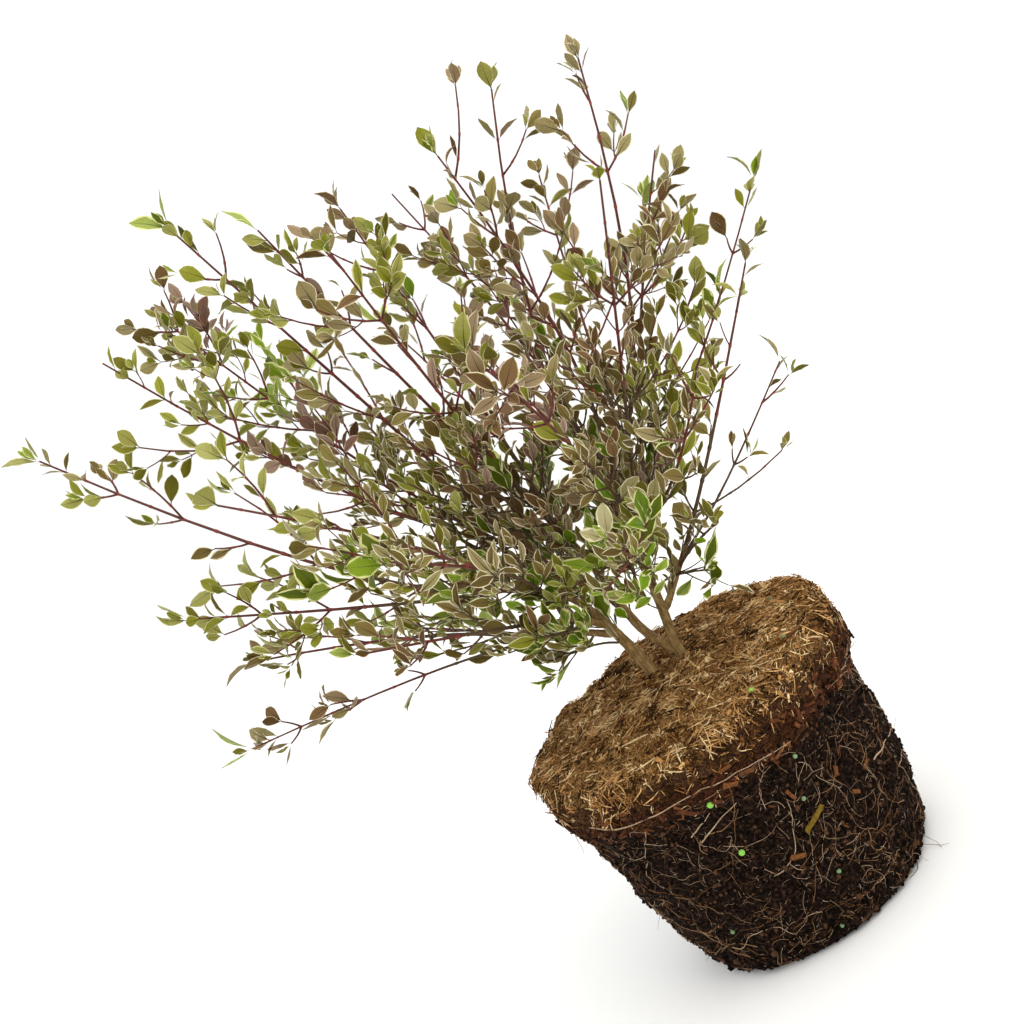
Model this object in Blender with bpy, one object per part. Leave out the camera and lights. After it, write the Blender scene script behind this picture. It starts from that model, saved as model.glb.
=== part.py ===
"""Variegated lophomyrtus shrub, lifted out of its pot and standing on its own root ball.

The plant stands upright, +Z up, with its origin at the middle of the root ball's flat underside.
-Y is its front and +X its right.  Three short stems carry eleven boughs that fan out all round,
and each bough ends where its masses of leafy shoots begin.  Sizes are in millimetres, and become
metres as each mesh is made.
"""

import math
import random

import bmesh
import bpy
import numpy as np
from mathutils import Matrix, Vector

MM = 0.001
GAP = 0.3

# Root ball: radius and height from its underside up to the flat middle of the mulch
BALL_PROFILE = (
    (57.0, 0.0),
    (61.0, 3.5),
    (66.5, 20.0),
    (71.0, 42.0),
    (73.0, 66.0),
    (75.0, 88.0),
    (79.5, 101.0),
    (81.0, 113.0),
    (80.5, 121.5),
    (76.0, 125.5),
    (46.0, 129.0),
    (22.0, 132.0),
)
BALL_SIDES = 32
SOIL_TOP = BALL_PROFILE[-1][1]
SHARP_EDGE = math.radians(40)
LIMB_SHARP_EDGE = math.radians(75)

# Lumps of its side: waves round it, turns of twist up it, and where each starts
LUMP_HEIGHT = 0.45
LUMP_WAVES = ((3, 0.6, 0.4), (5, 1.1, 2.1), (8, 1.8, 4.0))

# Stems: foot on the soil, tip, radius at foot and tip, and sideways bow
FLARE = 1.45
FLARE_HEIGHT = 6.0
STEMS = {
    "left_stem": {"foot": (-5.0, 4.0), "tip": (-11.0, 3.0, 174.0), "radii": (3.1, 2.3), "bow": 1.5},
    "right_stem": {"foot": (11.5, 5.0), "tip": (22.0, 6.0, 188.0), "radii": (2.7, 1.9), "bow": 2.5},
}
MIDDLE_STEM_SHARE = 0.14
MIDDLE_STEM_TIP = (1.5, 13.0, 180.0)
MIDDLE_STEM_RADII = (2.5, 2.0)
STEM_SIDES = 8
STEM_POINTS = 6

# Boughs: stem that carries it, place along that stem, and share of the way out to its shoots' tips
BOUGHS = {
    "left_bough": ("left_stem", 1.0, 0.30),
    "low_left_bough": ("left_stem", 0.72, 0.27),
    "front_left_bough": ("left_stem", 0.86, 0.28),
    "top_bough": ("middle_stem", 1.0, 0.22),
    "upper_left_bough": ("middle_stem", 0.88, 0.25),
    "back_left_bough": ("middle_stem", 0.72, 0.28),
    "upper_right_bough": ("right_stem", 1.0, 0.22),
    "right_bough": ("right_stem", 0.86, 0.28),
    "front_bough": ("right_stem", 0.74, 0.28),
    "back_right_bough": ("right_stem", 0.62, 0.28),
    "low_right_bough": ("right_stem", 0.46, 0.27),
}
BOUGH_RADII = (1.9, 1.45)
BOUGH_SIDES = 6
BOUGH_POINTS = 5

# Masses of shoots: limb that carries it, then azimuth in degrees from +X, reach and height of tip
MASSES = {
    "left_long_shoots": ("left_bough", 177, 178, 375),
    "left_shoots": ("left_bough", 187, 166, 292),
    "front_left_upper_shoots": ("left_bough", 221, 146, 334),
    "left_inner_shoots": ("left_bough", 236, 64, 236),
    "low_left_long_shoots": ("low_left_bough", 182, 190, 213),
    "low_left_shoots": ("low_left_bough", 173, 162, 252),
    "back_left_low_shoots": ("low_left_bough", 140, 142, 214),
    "front_left_low_shoots": ("front_left_bough", 223, 142, 250),
    "front_left_shoots": ("front_left_bough", 244, 152, 282),
    "front_left_inner_shoots": ("front_left_bough", 238, 76, 200),
    "top_front_shoots": ("top_bough", 262, 90, 388),
    "top_middle_shoots": ("top_bough", 80, 22, 400),
    "top_left_shoots": ("top_bough", 205, 36, 413),
    "top_inner_shoots": ("top_bough", 235, 34, 286),
    "upper_left_highest_shoots": ("upper_left_bough", 180, 64, 436),
    "upper_left_shoots": ("upper_left_bough", 191, 124, 405),
    "back_left_upper_shoots": ("upper_left_bough", 150, 114, 412),
    "upper_left_inner_shoots": ("upper_left_bough", 165, 62, 292),
    "back_left_shoots": ("back_left_bough", 128, 148, 284),
    "back_shoots": ("back_left_bough", 94, 152, 336),
    "back_inner_shoots": ("back_left_bough", 104, 78, 214),
    "upper_right_inner_shoots": ("upper_right_bough", 350, 52, 394),
    "upper_right_shoots": ("upper_right_bough", 4, 91, 403),
    "upper_right_long_shoots": ("upper_right_bough", 358, 132, 390),
    "right_upper_shoots": ("right_bough", 352, 146, 328),
    "right_long_shoots": ("right_bough", 2, 176, 290),
    "back_right_upper_shoots": ("right_bough", 45, 138, 354),
    "right_inner_shoots": ("right_bough", 345, 74, 246),
    "front_shoots": ("front_bough", 272, 152, 332),
    "front_right_shoots": ("front_bough", 302, 148, 268),
    "front_right_upper_shoots": ("front_bough", 314, 134, 350),
    "front_low_shoots": ("front_bough", 275, 134, 228),
    "front_inner_shoots": ("front_bough", 248, 62, 212),
    "back_top_shoots": ("back_right_bough", 72, 96, 390),
    "back_right_shoots": ("back_right_bough", 60, 148, 276),
    "back_right_low_shoots": ("back_right_bough", 40, 134, 216),
    "back_right_inner_shoots": ("back_right_bough", 30, 62, 220),
    "right_low_shoots": ("low_right_bough", 354, 154, 262),
    "low_right_long_shoots": ("low_right_bough", 357, 143, 215),
    "front_right_low_shoots": ("low_right_bough", 306, 94, 198),
    "right_foot_shoots": ("right_stem", 340, 58, 160),
    "left_foot_shoots": ("left_stem", 196, 52, 176),
}
FOOT_SHOOT_SHARE = 0.22
FORK_SHARES = (1.0, 0.88, 0.74, 0.58, 0.42)
FORK_ANGLE = math.radians(38)
FORK_RUN = 2.2
FORK_BEND = 0.3
LEADER_RADII = (1.25, 0.8)
LEADER_POINTS = 5

# Growing rule: opposite pairs, each a quarter turned from the last, side twigs at every other node
FIRST_NODE = 17.0
NODE_STEP = 31.0
LAST_NODE_SHARE = 0.97
TWIG_ANGLE = math.radians(42)
TWIG_SHARE = 0.42
TWIG_LENGTHS = (16.0, 46.0)
TWIG_SPREAD = (0.85, 1.1)
TWIG_RADII = (0.95, 0.7)
TWIG_SIDES = 3
TWIG_CUT = 0.7
TWIG_PROBES = 6
PAIR_SHARE = 0.62
LEAF_ANGLE = math.radians(52)
LEAF_LENGTH = 25.0
LEAF_WIDTH = 12.0
LEAF_THICKNESS = 1.1
LEAF_CUP = 1.6
LEAF_SINK = 0.35
LEAF_SPREAD = (0.8, 1.0)
LEAF_SIZES = (1.0, 0.8, 0.65)
LEAF_TWIST = 0.6
SKY_PULL = 0.5
TIP_SINK = 1.2
TIP_LEAF_SHARE = 0.85
TIP_FACING = 2.0
NEARLY_UPRIGHT = 0.05

# Where a leaf is tested against its space: share of half its width, share of its length
LEAF_PROBES = ((0, 0.12), (0, 0.3), (0, 1), (1, 0.5), (-1, 0.5), (0.5, 0.75), (-0.5, 0.75))

# A ring of three corners about its middle: how far it reaches to each side, and its depth
RING_REACH = math.sin(math.pi / 3)
RING_DEPTH = 1.5

# Space of a mass: how much nearer its own leader than the next, and how clear of limbs and mulch
SPACE_MARGIN = 1.4
LIMB_CLEARANCE = 0.8
SOIL_CLEARANCE = 2.0

# Finishes: linear red, green and blue, then roughness
SOIL_FINISH = ((0.075, 0.045, 0.026), 0.95)
BARK_FINISH = ((0.25, 0.165, 0.095), 0.8)
BOUGH_FINISH = ((0.13, 0.065, 0.045), 0.7)
LEAF_FINISH = ((0.16, 0.21, 0.09), 0.55)


class Limb:
    """A tapering limb: its axis, the radius at each point, and the plane its foot is cut to."""

    def __init__(self, path, radii, foot_normal):
        self.path = path
        self.places = [0.0]
        for near, far in zip(path, path[1:]):
            self.places.append(self.places[-1] + (far - near).length)
        self.length = self.places[-1]
        self.radii = [radii[0] + (radii[1] - radii[0]) * place / self.length for place in self.places]
        self.foot_normal = foot_normal
        points = np.array([tuple(point) for point in path])
        self.starts = points[:-1]
        self.runs = points[1:] - points[:-1]

    def at(self, share):
        """Point, heading and radius at a share of the length, from foot 0 to tip 1."""
        place = share * self.length
        index = 0
        while index < len(self.path) - 2 and self.places[index + 1] < place:
            index += 1
        rest = (place - self.places[index]) / (self.places[index + 1] - self.places[index])
        point = self.path[index].lerp(self.path[index + 1], rest)
        heading = (self.path[index + 1] - self.path[index]).normalized()
        radius = self.radii[index] + (self.radii[index + 1] - self.radii[index]) * rest
        return point, heading, radius

    def distance(self, points):
        """Least distance of each row of `points` from the axis."""
        offset = points[:, None] - self.starts
        share = np.clip((offset * self.runs).sum(-1) / (self.runs**2).sum(-1), 0, 1)
        return np.linalg.norm(offset - share[..., None] * self.runs, axis=-1).min(1)


def tip_point(azimuth, reach, height):
    angle = math.radians(azimuth)
    return Vector((reach * math.cos(angle), reach * math.sin(angle), height))


def bowed(start, control, end, count):
    """Points of a quadratic curve from start to end."""
    points = []
    for index in range(count):
        t = index / (count - 1)
        points.append(start * (1 - t) ** 2 + control * (2 * t * (1 - t)) + end * t**2)
    return points


def branch(parent, share, target, radii, count):
    """A limb that leaves `parent` a hair's breadth clear of it and bends over to `target`."""
    point, ahead, radius = parent.at(share)
    if share == 1.0:
        normal = ahead
        heading = ahead
        start = point + ahead * GAP
    else:
        outward = target - point
        normal = (outward - ahead * outward.dot(ahead)).normalized()
        heading = (ahead * math.cos(FORK_ANGLE) + normal * math.sin(FORK_ANGLE)).normalized()
        start = point + normal * (radius + GAP)
    first = start + heading * (FORK_RUN * radii[0])
    control = first + heading * (FORK_BEND * (target - first).length)
    return Limb([start] + bowed(first, control, target, count), radii, normal)


def stem_limbs():
    """The left and right stems rise from the mulch, and the middle one leaves the right one's foot."""
    limbs = {}
    for name, size in STEMS.items():
        foot = Vector((*size["foot"], SOIL_TOP + GAP))
        collar = foot + Vector((0, 0, FLARE_HEIGHT))
        tip = Vector(size["tip"])
        control = collar.lerp(tip, 0.5) + Vector((size["bow"], 0, 0))
        limb = Limb([foot] + bowed(collar, control, tip, STEM_POINTS), size["radii"], Vector((0, 0, 1)))
        limb.radii[0] *= FLARE
        limbs[name] = limb
    limbs["middle_stem"] = branch(
        limbs["right_stem"], MIDDLE_STEM_SHARE, Vector(MIDDLE_STEM_TIP), MIDDLE_STEM_RADII, STEM_POINTS
    )
    return limbs


def crown_limbs():
    """Stems, boughs and leaders by name, each worked out from the limb that carries it."""
    stems = stem_limbs()
    boughs = {}
    for name, (stem, share, way) in BOUGHS.items():
        tips = [tip_point(*row[1:]) for row in MASSES.values() if row[0] == name]
        middle = sum(tips, Vector()) / len(tips)
        target = stems[stem].at(share)[0].lerp(middle, way)
        boughs[name] = branch(stems[stem], share, target, BOUGH_RADII, BOUGH_POINTS)
    leaders = {}
    forks = dict.fromkeys(BOUGHS, 0)
    for name, (carrier, *tip) in MASSES.items():
        if carrier in stems:
            parent = stems[carrier]
            share = FOOT_SHOOT_SHARE
        else:
            parent = boughs[carrier]
            share = FORK_SHARES[forks[carrier]]
            forks[carrier] += 1
        end = tip_point(*tip)
        end -= (end - parent.at(share)[0]).normalized() * LEAF_LENGTH * TIP_LEAF_SHARE
        leaders[name] = branch(parent, share, end, LEADER_RADII, LEADER_POINTS)
    return stems, boughs, leaders


class Space:
    """The room a mass may fill: nearer its own leader than any other, and clear of every limb."""

    def __init__(self, own, leaders, limbs):
        self.own = own
        self.others = [leader for leader in leaders if leader is not own]
        self.limbs = limbs

    def holds(self, points):
        points = np.array([tuple(point) for point in points])
        own = self.own.distance(points)
        for other in self.others:
            if (other.distance(points) < own + SPACE_MARGIN).any():
                return False
        for limb in self.limbs:
            if (limb.distance(points) < max(limb.radii) + LIMB_CLEARANCE).any():
                return False
        return bool((points[:, 2] > SOIL_TOP + SOIL_CLEARANCE).all())


def turned(ahead, angle):
    """A direction square to `ahead`, at `angle` round it from the level."""
    level = Vector((-ahead.y, ahead.x, 0))
    if level.length < NEARLY_UPRIGHT:
        level = Vector((1, 0, 0))
    side = (level - ahead * level.dot(ahead)).normalized()
    return Matrix.Rotation(angle, 3, ahead) @ side


def leaning(ahead, side, angle):
    """The direction that leans from `ahead` towards `side` by an angle."""
    return (ahead * math.cos(angle) + side * math.sin(angle)).normalized()


class Mass:
    """One mass of shoots: the side twigs and leaves that its leader's nodes bear."""

    def __init__(self, leader, space, seed):
        self.leader = leader
        self.space = space
        self.rng = random.Random(seed)
        self.twigs = []
        self.leaves = []

    def add_leaf(self, base, along, facing, share=1.0):
        """A leaf where the space holds one, of full size or smaller."""
        facing = facing + Vector([self.rng.gauss(0, LEAF_TWIST) for axis in range(3)])
        face = (facing - along * facing.dot(along)).normalized()
        frame = Matrix((face.cross(along), face, along)).transposed().to_4x4()
        frame.translation = base - along * LEAF_SINK
        full = LEAF_LENGTH * share * self.rng.uniform(*LEAF_SPREAD)
        for size in LEAF_SIZES:
            length = full * size
            half = LEAF_WIDTH / 2 * length / LEAF_LENGTH
            probes = [Vector((across * half, LEAF_CUP, way * length)) for across, way in LEAF_PROBES]
            if self.space.holds([frame @ probe for probe in probes]):
                self.leaves.append((frame, length))
                return

    def add_pair(self, point, ahead, angle):
        """Two opposite leaves."""
        for side in (turned(ahead, angle), -turned(ahead, angle)):
            facing = ahead + Vector((0, 0, SKY_PULL))
            self.add_leaf(point, leaning(ahead, side, LEAF_ANGLE), facing)

    def add_twig(self, point, ahead, side, reach):
        """A side twig with a pair and a tip leaf, cut back to the space. False where none fits."""
        along = leaning(ahead, side, TWIG_ANGLE)
        end = point + along * reach
        while (end - point).length > TWIG_LENGTHS[0] / 2:
            probes = [point.lerp(end, step / TWIG_PROBES) for step in range(2, TWIG_PROBES + 1)]
            if self.space.holds(probes):
                break
            end = point.lerp(end, TWIG_CUT)
        else:
            return False
        self.twigs.append((point, end))
        self.add_leaf(end - along * TIP_SINK, along, ahead + Vector((0, 0, SKY_PULL)))
        self.add_pair(point.lerp(end, PAIR_SHARE), along, self.rng.uniform(0, math.pi))
        return True

    def grow(self):
        """Bears a twig or a leaf on each side of each node, and a leaf at the tip."""
        total = self.leader.length
        angle = self.rng.uniform(0, math.pi)
        for node in range(int((total - FIRST_NODE) / NODE_STEP) + 1):
            share = min((FIRST_NODE + node * NODE_STEP) / total, LAST_NODE_SHARE)
            point, ahead, radius = self.leader.at(share)
            angle += math.pi / 2
            if node % 2:
                self.add_pair(point, ahead, angle)
                continue
            for side in (turned(ahead, angle), -turned(ahead, angle)):
                reach = min(max((1 - share) * total * TWIG_SHARE, TWIG_LENGTHS[0]), TWIG_LENGTHS[1])
                if not self.add_twig(point, ahead, side, reach * self.rng.uniform(*TWIG_SPREAD)):
                    self.add_leaf(point, leaning(ahead, side, LEAF_ANGLE), ahead)
        point, ahead, radius = self.leader.at(1.0)
        self.add_leaf(point - ahead * TIP_SINK, ahead, turned(ahead, math.pi / 2) * TIP_FACING)


def material_of(name, finish):
    colour, roughness = finish
    material = bpy.data.materials.new(name)
    material.use_nodes = True
    shader = material.node_tree.nodes["Principled BSDF"]
    shader.inputs["Base Color"].default_value = (*colour, 1.0)
    shader.inputs["Roughness"].default_value = roughness
    shader.inputs["Metallic"].default_value = 0.0
    material.diffuse_color = (*colour, 1.0)
    return material


def object_from(bm, name, collection, finish=None):
    """An object in `collection` from a bmesh in millimetres, which this frees."""
    bmesh.ops.scale(bm, vec=(MM, MM, MM), verts=bm.verts)
    bmesh.ops.recalc_face_normals(bm, faces=bm.faces)
    mesh = bpy.data.meshes.new(name)
    bm.to_mesh(mesh)
    bm.free()
    made = bpy.data.objects.new(name, mesh)
    collection.objects.link(made)
    if finish:
        mesh.materials.append(material_of(name, finish))
    return made


def swept(limb, sides):
    """Bmesh of a limb: a ring of corners round each point of its axis, bridged, its ends flat."""
    bm = bmesh.new()
    path = limb.path
    last = len(path) - 1
    side = (path[1] - path[0]).orthogonal().normalized()
    before = []
    for index, (point, radius) in enumerate(zip(path, limb.radii)):
        ahead = (path[min(index + 1, last)] - path[max(index - 1, 0)]).normalized()
        side = (side - ahead * side.dot(ahead)).normalized()
        frame = Matrix((side, ahead.cross(side), ahead)).transposed().to_4x4()
        frame.translation = point
        ring = bmesh.ops.create_circle(
            bm, cap_ends=index in (0, last), segments=sides, radius=radius, matrix=frame
        )["verts"]
        edges = list({edge for corner in ring for edge in corner.link_edges})
        if before:
            bmesh.ops.bridge_loops(bm, edges=before + edges)
        else:
            for corner in ring:
                off = (point - corner.co).dot(limb.foot_normal)
                corner.co += ahead * (off / ahead.dot(limb.foot_normal))
        before = edges
    return bm


def twig_mesh(start, end):
    """Bmesh of a straight three-sided twig."""
    bm = bmesh.new()
    along = end - start
    frame = Matrix.Translation(start + along / 2) @ along.to_track_quat("Z", "Y").to_matrix().to_4x4()
    bmesh.ops.create_cone(
        bm,
        cap_ends=True,
        segments=TWIG_SIDES,
        radius1=TWIG_RADII[0],
        radius2=TWIG_RADII[1],
        depth=along.length,
        matrix=frame,
    )
    return bm


def leaf_mesh(frame, length):
    """Bmesh of a leaf: a ball of two rings of three, flattened to two edges and a keel, then cupped."""
    bm = bmesh.new()
    bmesh.ops.create_uvsphere(bm, u_segments=3, v_segments=2, radius=1.0)
    half = LEAF_WIDTH / 2 * length / LEAF_LENGTH
    for corner in bm.verts:
        across = corner.co.y / RING_REACH
        rise = -corner.co.x * LEAF_THICKNESS / RING_DEPTH + LEAF_CUP * abs(across)
        corner.co = (across * half, rise, (corner.co.z + 1) * length / 2)
    bmesh.ops.transform(bm, matrix=frame, verts=bm.verts)
    return bm


def keep_main_body(mesh):
    """Drops loose scraps and sealed hollows, so that the mesh is one body."""
    bm = bmesh.new()
    bm.from_mesh(mesh)
    left = set(bm.verts)
    bodies = []
    while left:
        body = {left.pop()}
        rim = list(body)
        while rim:
            corner = rim.pop()
            near = {edge.other_vert(corner) for edge in corner.link_edges} - body
            body |= near
            rim += near
        left -= body
        bodies.append(body)
    main_body = max(bodies, key=len)
    scraps = [corner for corner in bm.verts if corner not in main_body]
    bmesh.ops.delete(bm, geom=scraps, context="VERTS")
    bmesh.ops.triangulate(bm, faces=bm.faces)
    bm.to_mesh(mesh)
    bm.free()


def join_union(whole, pieces):
    """Fuses the objects of collection `pieces` into `whole`, and removes them."""
    union = whole.modifiers.new("Union", "BOOLEAN")
    union.operation = "UNION"
    union.operand_type = "COLLECTION"
    union.collection = pieces
    union.solver = "EXACT"
    bpy.context.view_layer.update()
    evaluated = whole.evaluated_get(bpy.context.evaluated_depsgraph_get())
    fused = bpy.data.meshes.new_from_object(evaluated)
    whole.modifiers.remove(union)
    whole.data = fused
    for piece in list(pieces.objects):
        bpy.data.objects.remove(piece)
    bpy.data.collections.remove(pieces)
    keep_main_body(fused)


def build_mass(name, mass, collection):
    """The leader of a mass with its side twigs and leaves fused on."""
    mass.grow()
    whole = object_from(swept(mass.leader, TWIG_SIDES), name, collection, LEAF_FINISH)
    pieces = bpy.data.collections.new(name + "_pieces")
    bpy.context.scene.collection.children.link(pieces)
    for start, end in mass.twigs:
        object_from(twig_mesh(start, end), "twig", pieces)
    for frame, length in mass.leaves:
        object_from(leaf_mesh(frame, length), "leaf", pieces)
    join_union(whole, pieces)


def build_root_ball(collection):
    """The root ball: its profile spun about the axis, with soft lumps pressed into its side."""
    bm = bmesh.new()
    corners = [bm.verts.new((radius, 0, height)) for radius, height in BALL_PROFILE]
    for lower, upper in zip(corners, corners[1:]):
        bm.edges.new((lower, upper))
    bmesh.ops.spin(
        bm,
        geom=bm.verts[:] + bm.edges[:],
        axis=(0, 0, 1),
        cent=(0, 0, 0),
        angle=math.tau,
        steps=BALL_SIDES,
        use_merge=True,
    )
    bmesh.ops.holes_fill(bm, edges=[edge for edge in bm.edges if edge.is_boundary])
    for corner in bm.verts:
        azimuth = math.atan2(corner.co.y, corner.co.x)
        height = corner.co.z / SOIL_TOP
        waves = [
            math.cos(count * azimuth + math.tau * twist * height + start)
            for count, twist, start in LUMP_WAVES
        ]
        push = LUMP_HEIGHT * sum(waves) * math.sin(math.pi * height)
        corner.co.xy *= 1 + push / corner.co.xy.length
    ball = object_from(bm, "root_ball", collection, SOIL_FINISH)
    ball.data.shade_smooth()
    ball.data.set_sharp_from_angle(angle=SHARP_EDGE)


def build_limb(name, limb, sides, finish, collection):
    made = object_from(swept(limb, sides), name, collection, finish)
    made.data.shade_smooth()
    made.data.set_sharp_from_angle(angle=LIMB_SHARP_EDGE)


def clear_scene():
    for old in list(bpy.data.objects):
        bpy.data.objects.remove(old)


def main():
    clear_scene()
    plant = bpy.data.collections.new("lophomyrtus")
    bpy.context.scene.collection.children.link(plant)
    build_root_ball(plant)
    stems, boughs, leaders = crown_limbs()
    for name, limb in stems.items():
        build_limb(name, limb, STEM_SIDES, BARK_FINISH, plant)
    for name, limb in boughs.items():
        build_limb(name, limb, BOUGH_SIDES, BOUGH_FINISH, plant)
    limbs = [*stems.values(), *boughs.values()]
    for seed, (name, leader) in enumerate(leaders.items()):
        space = Space(leader, leaders.values(), limbs)
        build_mass(name, Mass(leader, space, seed), plant)


if __name__ == "__main__":
    main()
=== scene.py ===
"""Looks of the variegated lophomyrtus shrub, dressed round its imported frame.

The plant stands upright, +Z up, as its solids do.  Shapes are worked out in millimetres in that
frame and become metres as each mesh is made, so every finished piece sits at the origin with its
place in its mesh.  Limbs and growing rule are those of the solids, carried on to finer shoots and
to leaves of real size.
"""

import logging
import math
import random
from collections.abc import Iterable, Sequence
from dataclasses import dataclass, field
from enum import Enum

import bmesh
import bpy
import numpy as np
from mathutils import Matrix, Vector, noise


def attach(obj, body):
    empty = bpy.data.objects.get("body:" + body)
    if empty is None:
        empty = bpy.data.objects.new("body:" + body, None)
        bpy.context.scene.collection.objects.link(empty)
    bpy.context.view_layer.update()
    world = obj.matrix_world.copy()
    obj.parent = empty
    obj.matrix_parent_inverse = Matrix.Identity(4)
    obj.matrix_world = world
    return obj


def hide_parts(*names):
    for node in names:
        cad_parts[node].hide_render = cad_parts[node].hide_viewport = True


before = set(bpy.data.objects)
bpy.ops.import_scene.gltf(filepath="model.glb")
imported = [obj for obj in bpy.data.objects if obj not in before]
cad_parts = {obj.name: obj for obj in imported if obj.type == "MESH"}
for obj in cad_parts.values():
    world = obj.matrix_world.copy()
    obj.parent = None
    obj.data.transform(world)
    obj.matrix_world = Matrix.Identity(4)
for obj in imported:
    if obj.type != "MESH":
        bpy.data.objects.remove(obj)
log = logging.getLogger("lophomyrtus")

MM = 0.001
BODY = "root"
UP = Vector((0, 0, 1))

# Root ball: radius and height from its underside up to the flat middle of the mulch
BALL_PROFILE = (
    (57.0, 0.0),
    (61.0, 3.5),
    (66.5, 20.0),
    (71.0, 42.0),
    (73.0, 66.0),
    (75.0, 88.0),
    (79.5, 101.0),
    (81.0, 113.0),
    (80.5, 121.5),
    (76.0, 125.5),
    (46.0, 129.0),
    (22.0, 132.0),
)
SOIL_TOP = BALL_PROFILE[-1][1]

# Stems: foot on the soil, tip, radius at foot and tip, and sideways bow
STEMS = {
    "left_stem": {"foot": (-5.0, 4.0), "tip": (-11.0, 3.0, 174.0), "radii": (3.1, 2.3), "bow": 1.5},
    "right_stem": {"foot": (11.5, 5.0), "tip": (22.0, 6.0, 188.0), "radii": (2.7, 1.9), "bow": 2.5},
}
COLLAR_HEIGHT = 6.0
MIDDLE_STEM_SHARE = 0.14
MIDDLE_STEM_TIP = (1.5, 13.0, 180.0)
MIDDLE_STEM_RADII = (2.5, 2.0)

# Boughs: stem that carries it, place along that stem, and share of the way out to its shoots' tips
BOUGHS = {
    "left_bough": ("left_stem", 1.0, 0.30),
    "low_left_bough": ("left_stem", 0.72, 0.27),
    "front_left_bough": ("left_stem", 0.86, 0.28),
    "top_bough": ("middle_stem", 1.0, 0.22),
    "upper_left_bough": ("middle_stem", 0.88, 0.25),
    "back_left_bough": ("middle_stem", 0.72, 0.28),
    "upper_right_bough": ("right_stem", 1.0, 0.22),
    "right_bough": ("right_stem", 0.86, 0.28),
    "front_bough": ("right_stem", 0.74, 0.28),
    "back_right_bough": ("right_stem", 0.62, 0.28),
    "low_right_bough": ("right_stem", 0.46, 0.27),
}
BOUGH_RADII = (1.9, 1.2)
GAP = 0.3
FORK_ANGLE = math.radians(38)
FORK_RUN = 2.2
FORK_BEND = 0.3
FORK_SHARES = (1.0, 0.88, 0.74, 0.58, 0.42)
FOOT_SHOOT_SHARE = 0.6
LIMB_POINTS = 9


@dataclass(frozen=True)
class Growth:
    """How the shoots of a mass grow.

    Attributes:
        side_reach: Length of a side shoot as a share of what is left of its leader.
        longest: Longest side shoot, in millimetres.
        short: Shortest and longest of the short shoots between them.
        between: Chance that a place between two nodes bears leaves too.
        spur: Chance that such a place bears spurs rather than leaves.
        bare: Share of the leader's length at its foot that bears nothing.
        leaf: Shortest and longest leaf, in millimetres.
        angles: Least and greatest angle in degrees between a leaf and its shoot.
        narrow: Chance that a leaf is one of the narrow ones.
        step: Distance between places on the leader that bear something, in millimetres.
    """

    side_reach: float
    longest: float
    short: tuple[float, float]
    between: float
    spur: float
    bare: float
    leaf: tuple[float, float]
    angles: tuple[float, float] = (30.0, 66.0)
    narrow: float = 0.25
    step: float = 15.5


class Habit(Enum):
    """Named ways in which a mass grows."""

    LONG = Growth(0.38, 44.0, (10.0, 20.0), 0.8, 0.05, 0.10, (10.5, 16.0))
    WHIP = Growth(0.16, 16.0, (8.0, 12.0), 0.5, 0.0, 0.25, (11.0, 16.5))
    SPARSE = Growth(0.12, 12.0, (8.0, 11.0), 0.1, 0.0, 0.30, (10.5, 15.5))
    OPEN = Growth(0.42, 46.0, (12.0, 22.0), 0.8, 0.20, 0.08, (10.5, 16.0))
    BUSHY = Growth(0.50, 52.0, (17.0, 30.0), 1.0, 0.45, 0.06, (10.0, 16.0))
    FULL = Growth(0.55, 52.0, (20.0, 32.0), 1.0, 0.80, 0.06, (10.0, 16.0), (24.0, 60.0), 0.35, 13.0)
    INNER = Growth(0.60, 44.0, (17.0, 30.0), 1.0, 0.85, 0.02, (9.5, 16.0), (14.0, 46.0), 0.7, 14.0)
    LOW = Growth(0.50, 30.0, (12.0, 18.0), 0.8, 0.40, 0.30, (10.5, 16.0))
    FOOT = Growth(0.50, 22.0, (9.0, 14.0), 1.0, 0.10, 0.20, (14.0, 20.0), (30.0, 66.0), 0.3, 6.5)


SLENDER = (Habit.WHIP, Habit.SPARSE, Habit.FOOT)


@dataclass(frozen=True)
class LeafFinish:
    """Plain colours of one tint of leaf, as sRGB hex.

    Attributes:
        blade: Colour of the blade.
        margin: Colour of the pale margin.
        rib: Colour of stalk and midrib.
        roughness: Roughness of all three.
    """

    blade: str
    margin: str
    rib: str
    roughness: float = 0.42

    # Painted shade and painted sheen: a dark brown and a pale grey-beige, each with its share, blended into
    # the blade for its shaded copy and its sheen copy
    PAINTED_SHADE = ("#2a1c00", 0.34)
    PAINTED_SHEEN = ("#b5ad8c", 0.3)
    PUCKER = 0.0005

    def materials(self, name: str) -> list[bpy.types.Material]:
        """The materials of a leaf's slots: blade, margin, rib, then the blade with painted shade and the
        blade with a painted sheen.
        """
        parts = {
            "blade": PlainFinish(self.blade, self.roughness, 0.2, self.PUCKER),
            "margin": PlainFinish(self.margin, self.roughness, 0.25, self.PUCKER),
            "rib": PlainFinish(self.rib, self.roughness, 0.2),
            # The blade darkened with painted shade, and the blade lightened and greyed with a painted sheen
            "dark_blade": PlainFinish(blended(self.blade, *self.PAINTED_SHADE), self.roughness, 0.12, self.PUCKER),
            "light_blade": PlainFinish(blended(self.blade, *self.PAINTED_SHEEN), self.roughness, 0.35, self.PUCKER),
        }
        return [finish.material(f"{name}_{part}") for part, finish in parts.items()]


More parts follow.
